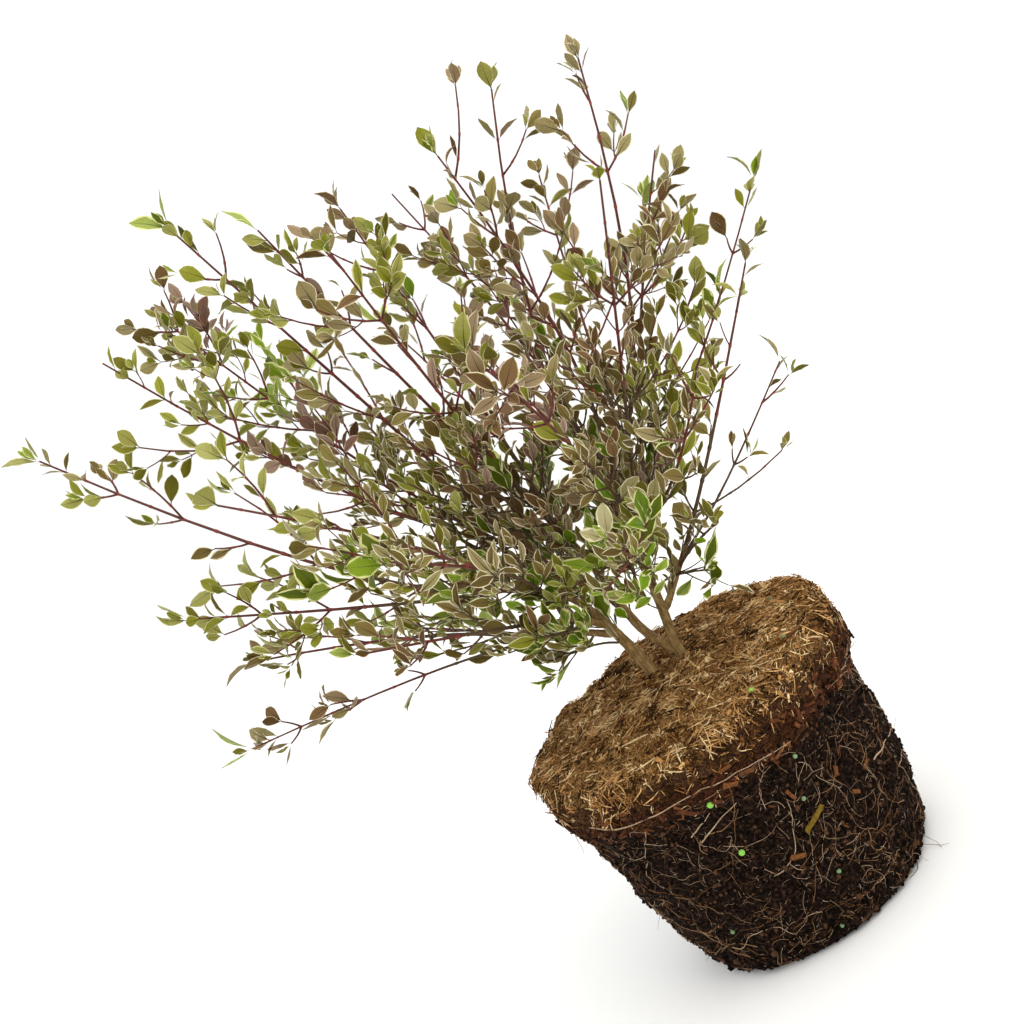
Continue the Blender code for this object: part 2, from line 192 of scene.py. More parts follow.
class Tint(Enum):
    """Tints that a spray's leaves can have."""

    OLIVE = LeafFinish("#79791a", "#c1bc83", "#4b431c")
    FRESH = LeafFinish("#86882a", "#c9c78c", "#585522")
    SAGE = LeafFinish("#7f7238", "#d9d1b2", "#4b3d28")
    KHAKI = LeafFinish("#766430", "#d2c5a3", "#443523")
    BRONZE = LeafFinish("#715530", "#cab997", "#412c1f")
    MAUVE = LeafFinish("#795848", "#bda48e", "#462823")
    DEEP = LeafFinish("#5f7a03", "#cdcb8c", "#3d4717")
    BRIGHT = LeafFinish("#749604", "#dfdea8", "#4b6020")
    LIME = LeafFinish("#7a911c", "#cccd88", "#5a6a25")
    CREAM = LeafFinish("#a69d69", "#d6cca3", "#7d7549")


GREENS = (Tint.DEEP, Tint.BRIGHT, Tint.LIME, Tint.CREAM)


class Palette(Enum):
    """Tints of a mass's sprays, each with how often it comes up."""

    FRESH = {
        Tint.OLIVE: 4.2,
        Tint.FRESH: 4.2,
        Tint.SAGE: 2,
        Tint.KHAKI: 1.4,
        Tint.MAUVE: 0.6,
        Tint.BRONZE: 0.5,
        Tint.LIME: 0.4,
        Tint.DEEP: 0.3,
    }
    SAGE = {Tint.SAGE: 4, Tint.KHAKI: 3, Tint.OLIVE: 2, Tint.BRONZE: 2, Tint.FRESH: 1, Tint.DEEP: 0.3}
    BRONZE = {
        Tint.KHAKI: 4,
        Tint.BRONZE: 3.5,
        Tint.SAGE: 4,
        Tint.MAUVE: 1.5,
        Tint.OLIVE: 2,
        Tint.DEEP: 0.2,
    }
    CREAM = {
        Tint.BRIGHT: 3.5,
        Tint.DEEP: 3.5,
        Tint.SAGE: 4.5,
        Tint.KHAKI: 2,
        Tint.LIME: 0.6,
        Tint.CREAM: 0.3,
    }

    def draw(self, rng: random.Random) -> Tint:
        """A tint by its weight."""
        return rng.choices(list(self.value), weights=list(self.value.values()))[0]


@dataclass(frozen=True)
class MassSize:
    """Where a mass of shoots grows, and how.

    Attributes:
        carrier: Limb that carries it.
        azimuth: Degrees from +X of its tip.
        reach: Millimetres from the plant's axis to its tip.
        height: Millimetres from the underside to its tip.
        seed: Seed of its draws.
        habit: How its shoots grow.
        palette: Tints of its sprays.
    """

    carrier: str
    azimuth: float
    reach: float
    height: float
    seed: int
    habit: Habit
    palette: Palette

    @property
    def tip(self) -> Vector:
        """Its tip."""
        angle = math.radians(self.azimuth)
        return Vector((self.reach * math.cos(angle), self.reach * math.sin(angle), self.height))


MASSES = {
    "left_long_shoots": MassSize("left_bough", 177, 176, 386, 0, Habit.LONG, Palette.FRESH),
    "left_shoots": MassSize("left_bough", 187, 166, 292, 3001, Habit.BUSHY, Palette.FRESH),
    "front_left_upper_shoots": MassSize("left_bough", 221, 146, 334, 13002, Habit.OPEN, Palette.FRESH),
    "left_inner_shoots": MassSize("left_bough", 236, 64, 236, 5003, Habit.INNER, Palette.BRONZE),
    "low_left_long_shoots": MassSize("low_left_bough", 182, 182, 222, 11004, Habit.WHIP, Palette.BRONZE),
    "low_left_shoots": MassSize("low_left_bough", 173, 162, 252, 3005, Habit.OPEN, Palette.SAGE),
    "back_left_low_shoots": MassSize("low_left_bough", 140, 142, 214, 5006, Habit.OPEN, Palette.SAGE),
    "front_left_low_shoots": MassSize("front_left_bough", 223, 142, 250, 9007, Habit.OPEN, Palette.BRONZE),
    "front_left_shoots": MassSize("front_left_bough", 244, 152, 282, 3008, Habit.BUSHY, Palette.SAGE),
    "front_left_inner_shoots": MassSize("front_left_bough", 238, 76, 200, 4009, Habit.INNER, Palette.CREAM),
    "top_front_shoots": MassSize("top_bough", 262, 90, 388, 10, Habit.OPEN, Palette.BRONZE),
    "top_middle_shoots": MassSize("top_bough", 80, 22, 400, 8011, Habit.OPEN, Palette.BRONZE),
    "top_left_shoots": MassSize("top_bough", 205, 36, 413, 6012, Habit.OPEN, Palette.FRESH),
    "top_inner_shoots": MassSize("top_bough", 235, 34, 286, 10013, Habit.INNER, Palette.BRONZE),
    "upper_left_highest_shoots": MassSize("upper_left_bough", 180, 64, 436, 2014, Habit.OPEN, Palette.FRESH),
    "upper_left_shoots": MassSize("upper_left_bough", 191, 124, 405, 15, Habit.BUSHY, Palette.FRESH),
    "back_left_upper_shoots": MassSize("upper_left_bough", 150, 114, 412, 9016, Habit.FULL, Palette.FRESH),
    "upper_left_inner_shoots": MassSize("upper_left_bough", 165, 62, 292, 13017, Habit.INNER, Palette.SAGE),
    "back_left_shoots": MassSize("back_left_bough", 128, 148, 284, 6018, Habit.OPEN, Palette.SAGE),
    "back_shoots": MassSize("back_left_bough", 94, 152, 336, 11019, Habit.BUSHY, Palette.BRONZE),
    "back_inner_shoots": MassSize("back_left_bough", 104, 78, 214, 13020, Habit.INNER, Palette.CREAM),
    "upper_right_inner_shoots": MassSize(
        "upper_right_bough", 350, 52, 394, 13021, Habit.BUSHY, Palette.BRONZE
    ),
    "upper_right_shoots": MassSize("upper_right_bough", 4, 91, 403, 22, Habit.OPEN, Palette.BRONZE),
    "upper_right_long_shoots": MassSize(
        "upper_right_bough", 358, 130, 391, 13023, Habit.OPEN, Palette.BRONZE
    ),
    "right_upper_shoots": MassSize("right_bough", 352, 135, 340, 10024, Habit.BUSHY, Palette.SAGE),
    "right_long_shoots": MassSize("right_bough", 2, 170, 299, 6025, Habit.WHIP, Palette.FRESH),
    "back_right_upper_shoots": MassSize("right_bough", 45, 138, 354, 10026, Habit.OPEN, Palette.SAGE),
    "right_inner_shoots": MassSize("right_bough", 345, 74, 246, 6027, Habit.INNER, Palette.SAGE),
    "front_shoots": MassSize("front_bough", 272, 152, 332, 11028, Habit.BUSHY, Palette.BRONZE),
    "front_right_shoots": MassSize("front_bough", 302, 148, 268, 3029, Habit.OPEN, Palette.SAGE),
    "front_right_upper_shoots": MassSize("front_bough", 314, 134, 350, 7030, Habit.FULL, Palette.BRONZE),
    "front_low_shoots": MassSize("front_bough", 275, 134, 228, 3031, Habit.LOW, Palette.CREAM),
    "front_inner_shoots": MassSize("front_bough", 268, 58, 208, 8032, Habit.INNER, Palette.CREAM),
    "back_top_shoots": MassSize("back_right_bough", 72, 96, 390, 11033, Habit.OPEN, Palette.BRONZE),
    "back_right_shoots": MassSize("back_right_bough", 60, 148, 276, 2034, Habit.OPEN, Palette.SAGE),
    "back_right_low_shoots": MassSize("back_right_bough", 40, 134, 216, 4035, Habit.OPEN, Palette.CREAM),
    "back_right_inner_shoots": MassSize("back_right_bough", 55, 60, 226, 11036, Habit.INNER, Palette.CREAM),
    "right_low_shoots": MassSize("low_right_bough", 354, 142, 275, 9037, Habit.LONG, Palette.SAGE),
    "low_right_long_shoots": MassSize("low_right_bough", 357, 133, 226, 4038, Habit.SPARSE, Palette.SAGE),
    "front_right_low_shoots": MassSize("low_right_bough", 306, 94, 198, 12039, Habit.OPEN, Palette.CREAM),
    "right_foot_shoots": MassSize("right_stem", 340, 58, 160, 12040, Habit.FOOT, Palette.CREAM),
    "left_foot_shoots": MassSize("left_stem", 196, 52, 176, 11041, Habit.FOOT, Palette.CREAM),
}


def linear(colour: str, alpha: float = 1.0) -> tuple[float, float, float, float]:
    """Linear red, green, blue and alpha of an sRGB hex colour."""
    parts = [int(colour[place : place + 2], 16) / 255 for place in (1, 3, 5)]
    red, green, blue = (
        part / 12.92 if part <= 0.04045 else ((part + 0.055) / 1.055) ** 2.4 for part in parts
    )
    return red, green, blue, alpha


def shaded(colour: str, factor: float) -> str:
    """An sRGB hex colour made lighter or darker by a factor of its linear light."""
    parts = [int(colour[place : place + 2], 16) for place in (1, 3, 5)]
    return "#" + "".join(f"{min(255, round(part * factor ** (1 / 2.4))):02x}" for part in parts)


def blended(colour: str, other: str, share: float) -> str:
    """An sRGB hex colour with a share of another one in it."""
    pairs = [(int(colour[place : place + 2], 16), int(other[place : place + 2], 16)) for place in (1, 3, 5)]
    return "#" + "".join(f"{round(first + (second - first) * share):02x}" for first, second in pairs)


class Nodes:
    """Adds and links the nodes of one material."""

    def __init__(self, name: str) -> None:
        """Starts a material of that name with its Principled shader.

        Args:
            name: Name of the material.
        """
        self.material = bpy.data.materials.new(name)
        self.material.use_nodes = True
        self.tree = self.material.node_tree
        self.shader = self.tree.nodes["Principled BSDF"]

    def add(
        self, kind: str, links: dict[str | int, object] | None = None, **settings: object
    ) -> bpy.types.Node:
        """A new node.

        Args:
            kind: Blender's name of the node type.
            links: For each input, the socket that feeds it or its value.
            settings: Properties of the node.

        Returns:
            The node.
        """
        node = self.tree.nodes.new(kind)
        for key, value in settings.items():
            setattr(node, key, value)
        for key, value in (links or {}).items():
            if isinstance(value, bpy.types.NodeSocket):
                self.tree.links.new(value, node.inputs[key])
            else:
                node.inputs[key].default_value = value
        return node

    def place(self, stretch: Sequence[float] = (1, 1, 1)) -> bpy.types.NodeSocket:
        """Object coordinates, scaled by `stretch`."""
        coordinates = self.add("ShaderNodeTexCoord").outputs["Object"]
        return self.add("ShaderNodeMapping", {"Vector": coordinates, "Scale": stretch}).outputs["Vector"]

    def noise(
        self, place: bpy.types.NodeSocket, scale: float, detail: float = 6.0, twist: float = 0.0
    ) -> bpy.types.NodeSocket:
        """The value of a noise pattern.

        Args:
            place: Coordinates that it reads.
            scale: Features in a metre.
            detail: Finer layers.
            twist: Distortion.

        Returns:
            Its value socket.
        """
        links = {"Vector": place, "Scale": scale, "Detail": detail, "Roughness": 0.6, "Distortion": twist}
        return self.add("ShaderNodeTexNoise", links).outputs["Fac"]

    def ramp(self, value: bpy.types.NodeSocket, stops: Sequence[tuple[float, str]]) -> bpy.types.NodeSocket:
        """A colour that follows a value through `stops` of place and sRGB hex."""
        node = self.add("ShaderNodeValToRGB", {"Fac": value})
        band = node.color_ramp.elements
        while len(band) < len(stops):
            band.new(0.5)
        for stop, (where, colour) in zip(band, stops):
            stop.position = where
            stop.color = linear(colour)
        return node.outputs["Color"]

    def spread(
        self, value: bpy.types.NodeSocket, low: float, high: float, to: tuple[float, float] = (0, 1)
    ) -> bpy.types.NodeSocket:
        """The value mapped from low..high to `to`, clamped."""
        links = {"Value": value, "From Min": low, "From Max": high, "To Min": to[0], "To Max": to[1]}
        return self.add("ShaderNodeMapRange", links).outputs["Result"]

    def mix(self, share: bpy.types.NodeSocket, first: object, second: object) -> bpy.types.NodeSocket:
        """A mix of two colours by a share."""
        node = self.add("ShaderNodeMix", data_type="RGBA")
        for key, value in ((0, share), (6, first), (7, second)):
            if isinstance(value, bpy.types.NodeSocket):
                self.tree.links.new(value, node.inputs[key])
            else:
                node.inputs[key].default_value = value
        return node.outputs[2]

    def sum(self, *values: object) -> bpy.types.NodeSocket:
        """The sum of sockets or numbers."""
        total = values[0]
        for value in values[1:]:
            total = self.add("ShaderNodeMath", {0: total, 1: value}, operation="ADD").outputs[0]
        return total

    def scaled(self, value: object, factor: object) -> bpy.types.NodeSocket:
        """A value times a factor."""
        return self.add("ShaderNodeMath", {0: value, 1: factor}, operation="MULTIPLY").outputs[0]

    def bump(self, height: bpy.types.NodeSocket, distance: float, strength: float = 1.0) -> None:
        """Feeds a height pattern to the shader's normal."""
        links = {"Height": height, "Distance": distance, "Strength": strength}
        normal = self.add("ShaderNodeBump", links).outputs["Normal"]
        self.tree.links.new(normal, self.shader.inputs["Normal"])

    def colour(self, socket: bpy.types.NodeSocket) -> None:
        """Feeds the shader's base colour."""
        self.tree.links.new(socket, self.shader.inputs["Base Color"])


@dataclass(frozen=True)
class PlainFinish:
    """One plain colour.

    Attributes:
        colour: sRGB hex.
        roughness: Roughness.
        specular: Specular level.
        pucker: Height in metres of the soft dimples in its surface.
        mottle: Share by which its light wanders either way, or 0 for a plain base colour.
    """

    colour: str
    roughness: float
    specular: float = 0.2
    pucker: float = 0.0
    mottle: float = 0.0

    def material(self, name: str) -> bpy.types.Material:
        """The material, by name."""
        nodes = Nodes(name)
        nodes.shader.inputs["Base Color"].default_value = linear(self.colour)
        nodes.shader.inputs["Roughness"].default_value = self.roughness
        nodes.shader.inputs["Specular IOR Level"].default_value = self.specular
        nodes.material.diffuse_color = linear(self.colour)
        if self.mottle:
            ends = shaded(self.colour, 1 - self.mottle), shaded(self.colour, 1 + self.mottle)
            nodes.colour(nodes.ramp(nodes.noise(nodes.place(), 900, 5), ((0.36, ends[0]), (0.64, ends[1]))))
        if self.pucker:
            nodes.bump(nodes.noise(nodes.place(), 520, 2), self.pucker, 0.8)
        return nodes.material


@dataclass(frozen=True)
class BarkFinish:
    """Smooth tan bark with fine lengthwise streaks, which turns red-brown further up.

    Attributes:
        tan_until: Height at which the tan begins to turn, in metres.
        red_from: Height at which it is all red-brown, in metres.
    """

    tan_until: float = 0.172
    red_from: float = 0.225

    def material(self, name: str) -> bpy.types.Material:
        """The material, by name."""
        nodes = Nodes(name)
        along = nodes.place((1, 1, 0.16))
        streaks = nodes.noise(along, 900, 5)
        blotches = nodes.noise(nodes.place(), 160, 3)
        tan = nodes.ramp(
            nodes.sum(nodes.scaled(streaks, 0.6), nodes.scaled(blotches, 0.4)),
            ((0.34, "#4d3a1d"), (0.48, "#7d6235"), (0.64, "#a88c5a")),
        )
        red = nodes.ramp(streaks, ((0.36, "#43261d"), (0.52, "#6a4030"), (0.66, "#8a5c42")))
        height = nodes.add("ShaderNodeSeparateXYZ", {0: nodes.place()}).outputs["Z"]
        share = nodes.spread(height, self.tan_until, self.red_from)
        nodes.colour(nodes.mix(share, tan, red))
        nodes.bump(streaks, 0.0004, 0.7)
        nodes.shader.inputs["Roughness"].default_value = 0.72
        nodes.shader.inputs["Specular IOR Level"].default_value = 0.3
        return nodes.material


@dataclass(frozen=True)
class SoilFinish:
    """Black-brown peat below, a ring of red-brown bark, and tan fibrous mulch above.

    Attributes:
        peat_until: Height at which the ring of bark begins, in metres.
        ring_full: Height at which it is in full, in metres.
        mulch_from: Height at which the mulch begins, in metres.
        mulch_full: Height at which it is in full, in metres.
        top_from: Height at which the dark side of the mulch begins to turn lighter, in metres.
        top_full: Height at which it is all as light as on top, in metres.
    """

    peat_until: float = 0.095
    ring_full: float = 0.101
    mulch_from: float = 0.107
    mulch_full: float = 0.113
    top_from: float = 0.118
    top_full: float = 0.125

    def material(self, name: str) -> bpy.types.Material:
        """The material, by name."""
        nodes = Nodes(name)
        place = nodes.place()
        fine = nodes.noise(place, 620, 8)
        fibres = nodes.noise(place, 420, 8, 2.5)
        broad = nodes.noise(place, 60, 3)
        peat = nodes.ramp(fine, ((0.40, "#0a0503"), (0.51, "#1b110b"), (0.61, "#33231a"), (0.73, "#5c4536")))
        ring = nodes.ramp(fibres, ((0.38, "#120905"), (0.5, "#341d11"), (0.64, "#5f3820")))
        band = nodes.ramp(fibres, ((0.36, "#1c1009"), (0.5, "#412a1b"), (0.64, "#6b4b2f")))
        # Mulch from dark to light; its near-black lowest stop is partly peat showing between the fibres and
        # partly painted shade in those gaps
        steps = ((0.37, "#1c0f04"), (0.46, "#674822"), (0.56, "#9e7645"), (0.68, "#cda776"))
        mulch = nodes.ramp(fibres, steps)
        height = nodes.add("ShaderNodeSeparateXYZ", {0: place}).outputs["Z"]
        wandering = nodes.sum(height, nodes.scaled(nodes.sum(broad, -0.5), 0.022))
        lower = nodes.mix(nodes.spread(wandering, self.peat_until, self.ring_full), peat, ring)
        upper = nodes.mix(nodes.spread(wandering, self.top_from, self.top_full), band, mulch)
        nodes.colour(nodes.mix(nodes.spread(wandering, self.mulch_from, self.mulch_full), lower, upper))
        nodes.bump(nodes.sum(fine, fibres), 0.0016, 0.9)
        nodes.shader.inputs["Roughness"].default_value = 0.95
        nodes.shader.inputs["Specular IOR Level"].default_value = 0.05
        return nodes.material


def mesh_from(bm: bmesh.types.BMesh, name: str) -> bpy.types.Mesh:
    """A mesh from a bmesh, which this frees."""
    mesh = bpy.data.meshes.new(name)
    bm.to_mesh(mesh)
    bm.free()
    return mesh


def finished(
    mesh: bpy.types.Mesh,
    name: str,
    materials: Iterable[bpy.types.Material],
    stands_for: Iterable[str] = (),
) -> bpy.types.Object:
    """Turns a mesh in millimetres into a piece of the plant.

    Args:
        mesh: The mesh.
        name: Name of the piece.
        materials: Materials of its slots, in order.
        stands_for: Nodes of the frame that it replaces.

    Returns:
        The piece.
    """
    mesh.transform(Matrix.Scale(MM, 4))
    mesh.name = name
    for material in materials:
        mesh.materials.append(material)
    mesh.shade_smooth()
    piece = bpy.data.objects.new(name, mesh)
    bpy.context.scene.collection.objects.link(piece)
    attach(piece, BODY)
    if stands_for:
        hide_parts(*stands_for)
    triangles = sum(len(face.vertices) - 2 for face in mesh.polygons)
    log.info("%s: %d triangles", name, triangles)
    return piece


def swept(
    path: Sequence[Vector], radii: Sequence[float], sides: int, slots: Sequence[int] = ()
) -> bmesh.types.BMesh:
    """Bmesh of a closed tube round a path.

    Args:
        path: Points of its axis.
        radii: Radius at each point.
        sides: Corners of each ring.
        slots: Material slot of each stretch between two points, or nothing for all 0.

    Returns:
        The bmesh.
    """
    bm = bmesh.new()
    last = len(path) - 1
    side = (path[1] - path[0]).orthogonal().normalized()
    before: list[bmesh.types.BMEdge] = []
    for index, (point, radius) in enumerate(zip(path, radii)):
        ahead = (path[min(index + 1, last)] - path[max(index - 1, 0)]).normalized()
        side = (side - ahead * side.dot(ahead)).normalized()
        place = Matrix((side, ahead.cross(side), ahead)).transposed().to_4x4()
        place.translation = point
        capped = index in (0, last)
        made = bmesh.ops.create_circle(bm, cap_ends=capped, segments=sides, radius=radius, matrix=place)
        ring = made["verts"]
        edges = list({edge for corner in ring for edge in corner.link_edges})
        if before:
            made = bmesh.ops.bridge_loops(bm, edges=before + edges)["faces"]
            for face in made if slots else ():
                face.material_index = slots[index - 1]
        before = edges
    bmesh.ops.recalc_face_normals(bm, faces=bm.faces)
    return bm


class Heap:
    """Copies of small shapes, joined into one mesh."""

    def __init__(self) -> None:
        """Starts empty."""
        self.bm = bmesh.new()

    def add(self, shape: bpy.types.Mesh, place: Matrix, slot: int | None = None) -> None:
        """Adds a copy of a shape.

        Args:
            shape: The shape.
            place: Where it goes.
            slot: Material slot for all its faces, or None to keep theirs.
        """
        copy = shape.copy()
        copy.transform(place)
        if slot is not None:
            copy.polygons.foreach_set("material_index", [slot] * len(copy.polygons))
        self.bm.from_mesh(copy)
        bpy.data.meshes.remove(copy)

    def take(self, bm: bmesh.types.BMesh) -> None:
        """Adds a bmesh, which this frees."""
        mesh = mesh_from(bm, "taken")
        self.bm.from_mesh(mesh)
        bpy.data.meshes.remove(mesh)

    def mesh(self, name: str) -> bpy.types.Mesh:
        """The joined mesh. The heap is spent."""
        return mesh_from(self.bm, name)


class Limb:
    """A tapering limb: its axis and the radius at each point."""

    def __init__(self, path: list[Vector], radii: tuple[float, float]) -> None:
        """Measures the limb.

        Args:
            path: Points of its axis, from foot to tip.
            radii: Radius at foot and tip, in millimetres.
        """
        self.path = path
        self.places = [0.0]
        for near, far in zip(path, path[1:]):
            self.places.append(self.places[-1] + (far - near).length)
        self.length = self.places[-1]
        self.ends = radii
        points = np.array([tuple(point) for point in path])
        self.starts = points[:-1]
        self.runs = points[1:] - points[:-1]

    def radius(self, share: float) -> float:
        """Radius at a share of the length."""
        return self.ends[0] + (self.ends[1] - self.ends[0]) * share

    def at(self, share: float) -> tuple[Vector, Vector]:
        """Point and heading at a share of the length, from foot 0 to tip 1."""
        place = share * self.length
        index = 0
        while index < len(self.path) - 2 and self.places[index + 1] < place:
            index += 1
        rest = (place - self.places[index]) / (self.places[index + 1] - self.places[index])
        heading = (self.path[index + 1] - self.path[index]).normalized()
        return self.path[index].lerp(self.path[index + 1], rest), heading

    def distance(self, points: np.ndarray) -> np.ndarray:
        """Least distance of each row of `points` from the axis."""
        offset = points[:, None] - self.starts
        share = np.clip((offset * self.runs).sum(-1) / (self.runs**2).sum(-1), 0, 1)
        return np.linalg.norm(offset - share[..., None] * self.runs, axis=-1).min(1)


def bowed(start: Vector, control: Vector, end: Vector, count: int) -> list[Vector]:
    """Points of a quadratic curve from start to end."""
    points = []
    for index in range(count):
        t = index / (count - 1)
        points.append(start * (1 - t) ** 2 + control * (2 * t * (1 - t)) + end * t**2)
    return points


def branch(parent: Limb, share: float, target: Vector, radii: tuple[float, float], count: int) -> Limb:
    """A limb that leaves its parent and bends over to a target, as in the solids.

    Args:
        parent: Limb that carries it.
        share: Place along the parent.
        target: Where it ends.
        radii: Radius at foot and tip.
        count: Points of its curve.

    Returns:
        The limb, whose first point lies on the parent's axis.
    """
    point, ahead = parent.at(share)
    radius = parent.radius(share)
    if share == 1.0:
        heading = ahead
        start = point + ahead * GAP
    else:
        outward = target - point
        normal = (outward - ahead * outward.dot(ahead)).normalized()
        heading = (ahead * math.cos(FORK_ANGLE) + normal * math.sin(FORK_ANGLE)).normalized()
        start = point + normal * (radius + GAP)
    first = start + heading * (FORK_RUN * radii[0])
    control = first + heading * (FORK_BEND * (target - first).length)
    sunk = point.lerp(start, 0.25) - heading * radii[0]
    return Limb([sunk, start] + bowed(first, control, target, count), radii)


@dataclass
class Skeleton:
    """Stems, boughs and leaders by name, each worked out from the limb that carries it.

    Attributes:
        leader_radii: Radius of a leader at its foot and tip.
        slender_radii: The same for a slender one.
        tip_leaf: How far short of a mass's tip its leader stops, for the leaves there.
    """

    leader_radii: tuple[float, float] = (0.95, 0.42)
    slender_radii: tuple[float, float] = (0.65, 0.35)
    tip_leaf: float = 10.0
    stems: dict[str, Limb] = field(default_factory=dict)
    boughs: dict[str, Limb] = field(default_factory=dict)
    leaders: dict[str, Limb] = field(default_factory=dict)

    def __post_init__(self) -> None:
        """Works out every limb."""
        self.grow_stems()
        self.grow_boughs()
        self.grow_leaders()

    def grow_stems(self) -> None:
        """Left and right stems rise from the mulch, and the middle one leaves the right one's foot."""
        for name, size in STEMS.items():
            foot = Vector((*size["foot"], SOIL_TOP - COLLAR_HEIGHT / 2))
            collar = Vector((*size["foot"], SOIL_TOP + COLLAR_HEIGHT))
            tip = Vector(size["tip"])
            control = collar.lerp(tip, 0.5) + Vector((size["bow"], 0, 0))
            self.stems[name] = Limb([foot] + bowed(collar, control, tip, LIMB_POINTS), size["radii"])
        self.stems["middle_stem"] = branch(
            self.stems["right_stem"],
            MIDDLE_STEM_SHARE,
            Vector(MIDDLE_STEM_TIP),
            MIDDLE_STEM_RADII,
            LIMB_POINTS,
        )

    def grow_boughs(self) -> None:
        """Each bough heads for the middle of its masses' tips."""
        for name, (stem, share, way) in BOUGHS.items():
            tips = [mass.tip for mass in MASSES.values() if mass.carrier == name]
            middle = sum(tips, Vector()) / len(tips)
            parent = self.stems[stem]
            target = parent.at(share)[0].lerp(middle, way)
            self.boughs[name] = branch(parent, share, target, BOUGH_RADII, LIMB_POINTS)

    def grow_leaders(self) -> None:
        """One leader for each mass, from its bough or stem to just short of its tip."""
        forks = dict.fromkeys(BOUGHS, 0)
        for name, mass in MASSES.items():
            if mass.carrier in self.stems:
                parent = self.stems[mass.carrier]
                share = FOOT_SHOOT_SHARE
            else:
                parent = self.boughs[mass.carrier]
                share = FORK_SHARES[forks[mass.carrier]]
                forks[mass.carrier] += 1
            radii = self.slender_radii if mass.habit in SLENDER else self.leader_radii
            end = mass.tip
            end -= (end - parent.at(share)[0]).normalized() * self.tip_leaf
            self.leaders[name] = branch(parent, share, end, radii, LIMB_POINTS)


@dataclass(frozen=True)
class View:
    """The photograph's view of the plant.

    Attributes:
        elevation: Degrees above the horizon.
        roll: Degrees by which the camera is rolled, because the plant in the photograph is tilted.
        distance: Millimetres from the aim to the camera.
        aim: Point at the middle of the picture.
    """

    elevation: float = 12.0
    roll: float = -36.0
    distance: float = 775.0
    aim: tuple[float, float, float] = (-14.0, 0.0, 236.0)

    def axes(self) -> tuple[Vector, Vector, Vector]:
        """Right, up and back of the picture."""
        tilt = math.radians(self.elevation)
        roll = math.radians(self.roll)
        back = Vector((0, -math.cos(tilt), math.sin(tilt)))
        level = Vector((1, 0, 0))
        up = Vector((0, math.sin(tilt), math.cos(tilt)))
        right = level * math.cos(roll) + up * math.sin(roll)
        return right, up * math.cos(roll) - level * math.sin(roll), back

    def seen(self, point: Vector) -> tuple[float, float]:
        """Millimetres right and up at which a point is seen, measured in the plane through the aim."""
        right, up, back = self.axes()
        offset = point - Vector(self.aim)
        scale = self.distance / (self.distance - offset.dot(back))
        return offset.dot(right) * scale, offset.dot(up) * scale

    def open_at(self, point: Vector) -> bool:
        """Whether light shows through the crown where a point is seen."""
        across, height = self.seen(point)
        return any(math.hypot(across - right, height - up) < radius for right, up, radius in OPENINGS)


VIEW = View()


def within(point: Vector, zone: tuple[float, float]) -> bool:
    """Whether a point lies inside a zone, given as its distance from the axis and its height."""
    return math.hypot(point.x, point.y) < zone[0] and point.z < zone[1]


def in_dense(point: Vector) -> bool:
    """Whether a point lies in the dense middle of the crown, which runs from front to back."""
    return abs(point.x - DENSE_ZONE[0]) < DENSE_ZONE[1] and point.z < DENSE_ZONE[2]


def hangs_low(point: Vector) -> bool:
    """Whether a point lies below the skirt of the crown."""
    way = math.degrees(math.atan2(point.y, point.x)) % 360
    foot, rise = next((skirt for (low, high), skirt in SECTOR_SKIRTS.items() if low < way < high), SKIRT)
    return point.z < foot + rise * math.hypot(point.x, point.y)


class Space:
    """The room a mass may fill: nearer its own leader than any other, and clear of every limb."""

    def __init__(self, skeleton: Skeleton, name: str, overlap: float) -> None:
        """Gathers the limbs to keep clear of.

        Args:
            skeleton: All limbs.
            name: The mass.
            overlap: How far it may reach into its neighbours' room, in millimetres.
        """
        leaders = skeleton.leaders
        self.own = (leaders | skeleton.boughs | skeleton.stems)[name]
        self.overlap = overlap
        full = [key for key in leaders if key != name and MASSES[key].habit not in SLENDER]
        others = [leaders[key] for key in full]
        self.starts = np.concatenate([leader.starts for leader in others])
        self.runs = np.concatenate([leader.runs for leader in others])
        self.limbs = [*skeleton.stems.values(), *skeleton.boughs.values()]

    def clear(self, points: Sequence[Vector]) -> bool:
        """Whether points keep clear of stems, boughs and mulch."""
        rows = np.array([tuple(point) for point in points])
        if (rows[:, 2] < ball_top(np.hypot(rows[:, 0], rows[:, 1])) + 1.0).any():
            return False
        return all((limb.distance(rows) > limb.ends[0] + 0.4).all() for limb in self.limbs)

    def holds(self, points: Sequence[Vector]) -> bool:
        """Whether points are clear and in this mass's room."""
        rows = np.array([tuple(point) for point in points])
        offset = rows[:, None] - self.starts
        share = np.clip((offset * self.runs).sum(-1) / (self.runs**2).sum(-1), 0, 1)
        others = np.linalg.norm(offset - share[..., None] * self.runs, axis=-1).min(1)
        return bool((self.own.distance(rows) < others + self.overlap).all()) and self.clear(points)


def ball_top(radius: np.ndarray) -> np.ndarray:
    """Height of the mulch at each distance from the axis; past the rim there is none."""
    top = [corner for corner in BALL_PROFILE if corner[1] >= 121.5][::-1]
    radii, heights = zip(*top)
    return np.where(radius > radii[-1], 0.0, np.interp(radius, radii, heights))


def turned(ahead: Vector, angle: float) -> Vector:
    """A direction square to `ahead`, at `angle` round it from the level."""
    level = Vector((-ahead.y, ahead.x, 0))
    if level.length < 0.05:
        level = Vector((1, 0, 0))
    side = (level - ahead * level.dot(ahead)).normalized()
    return Matrix.Rotation(angle, 3, ahead) @ side


def leaning(ahead: Vector, side: Vector, angle: float) -> Vector:
    """The direction that leans from `ahead` towards `side` by an angle."""
    return (ahead * math.cos(angle) + side * math.sin(angle)).normalized()


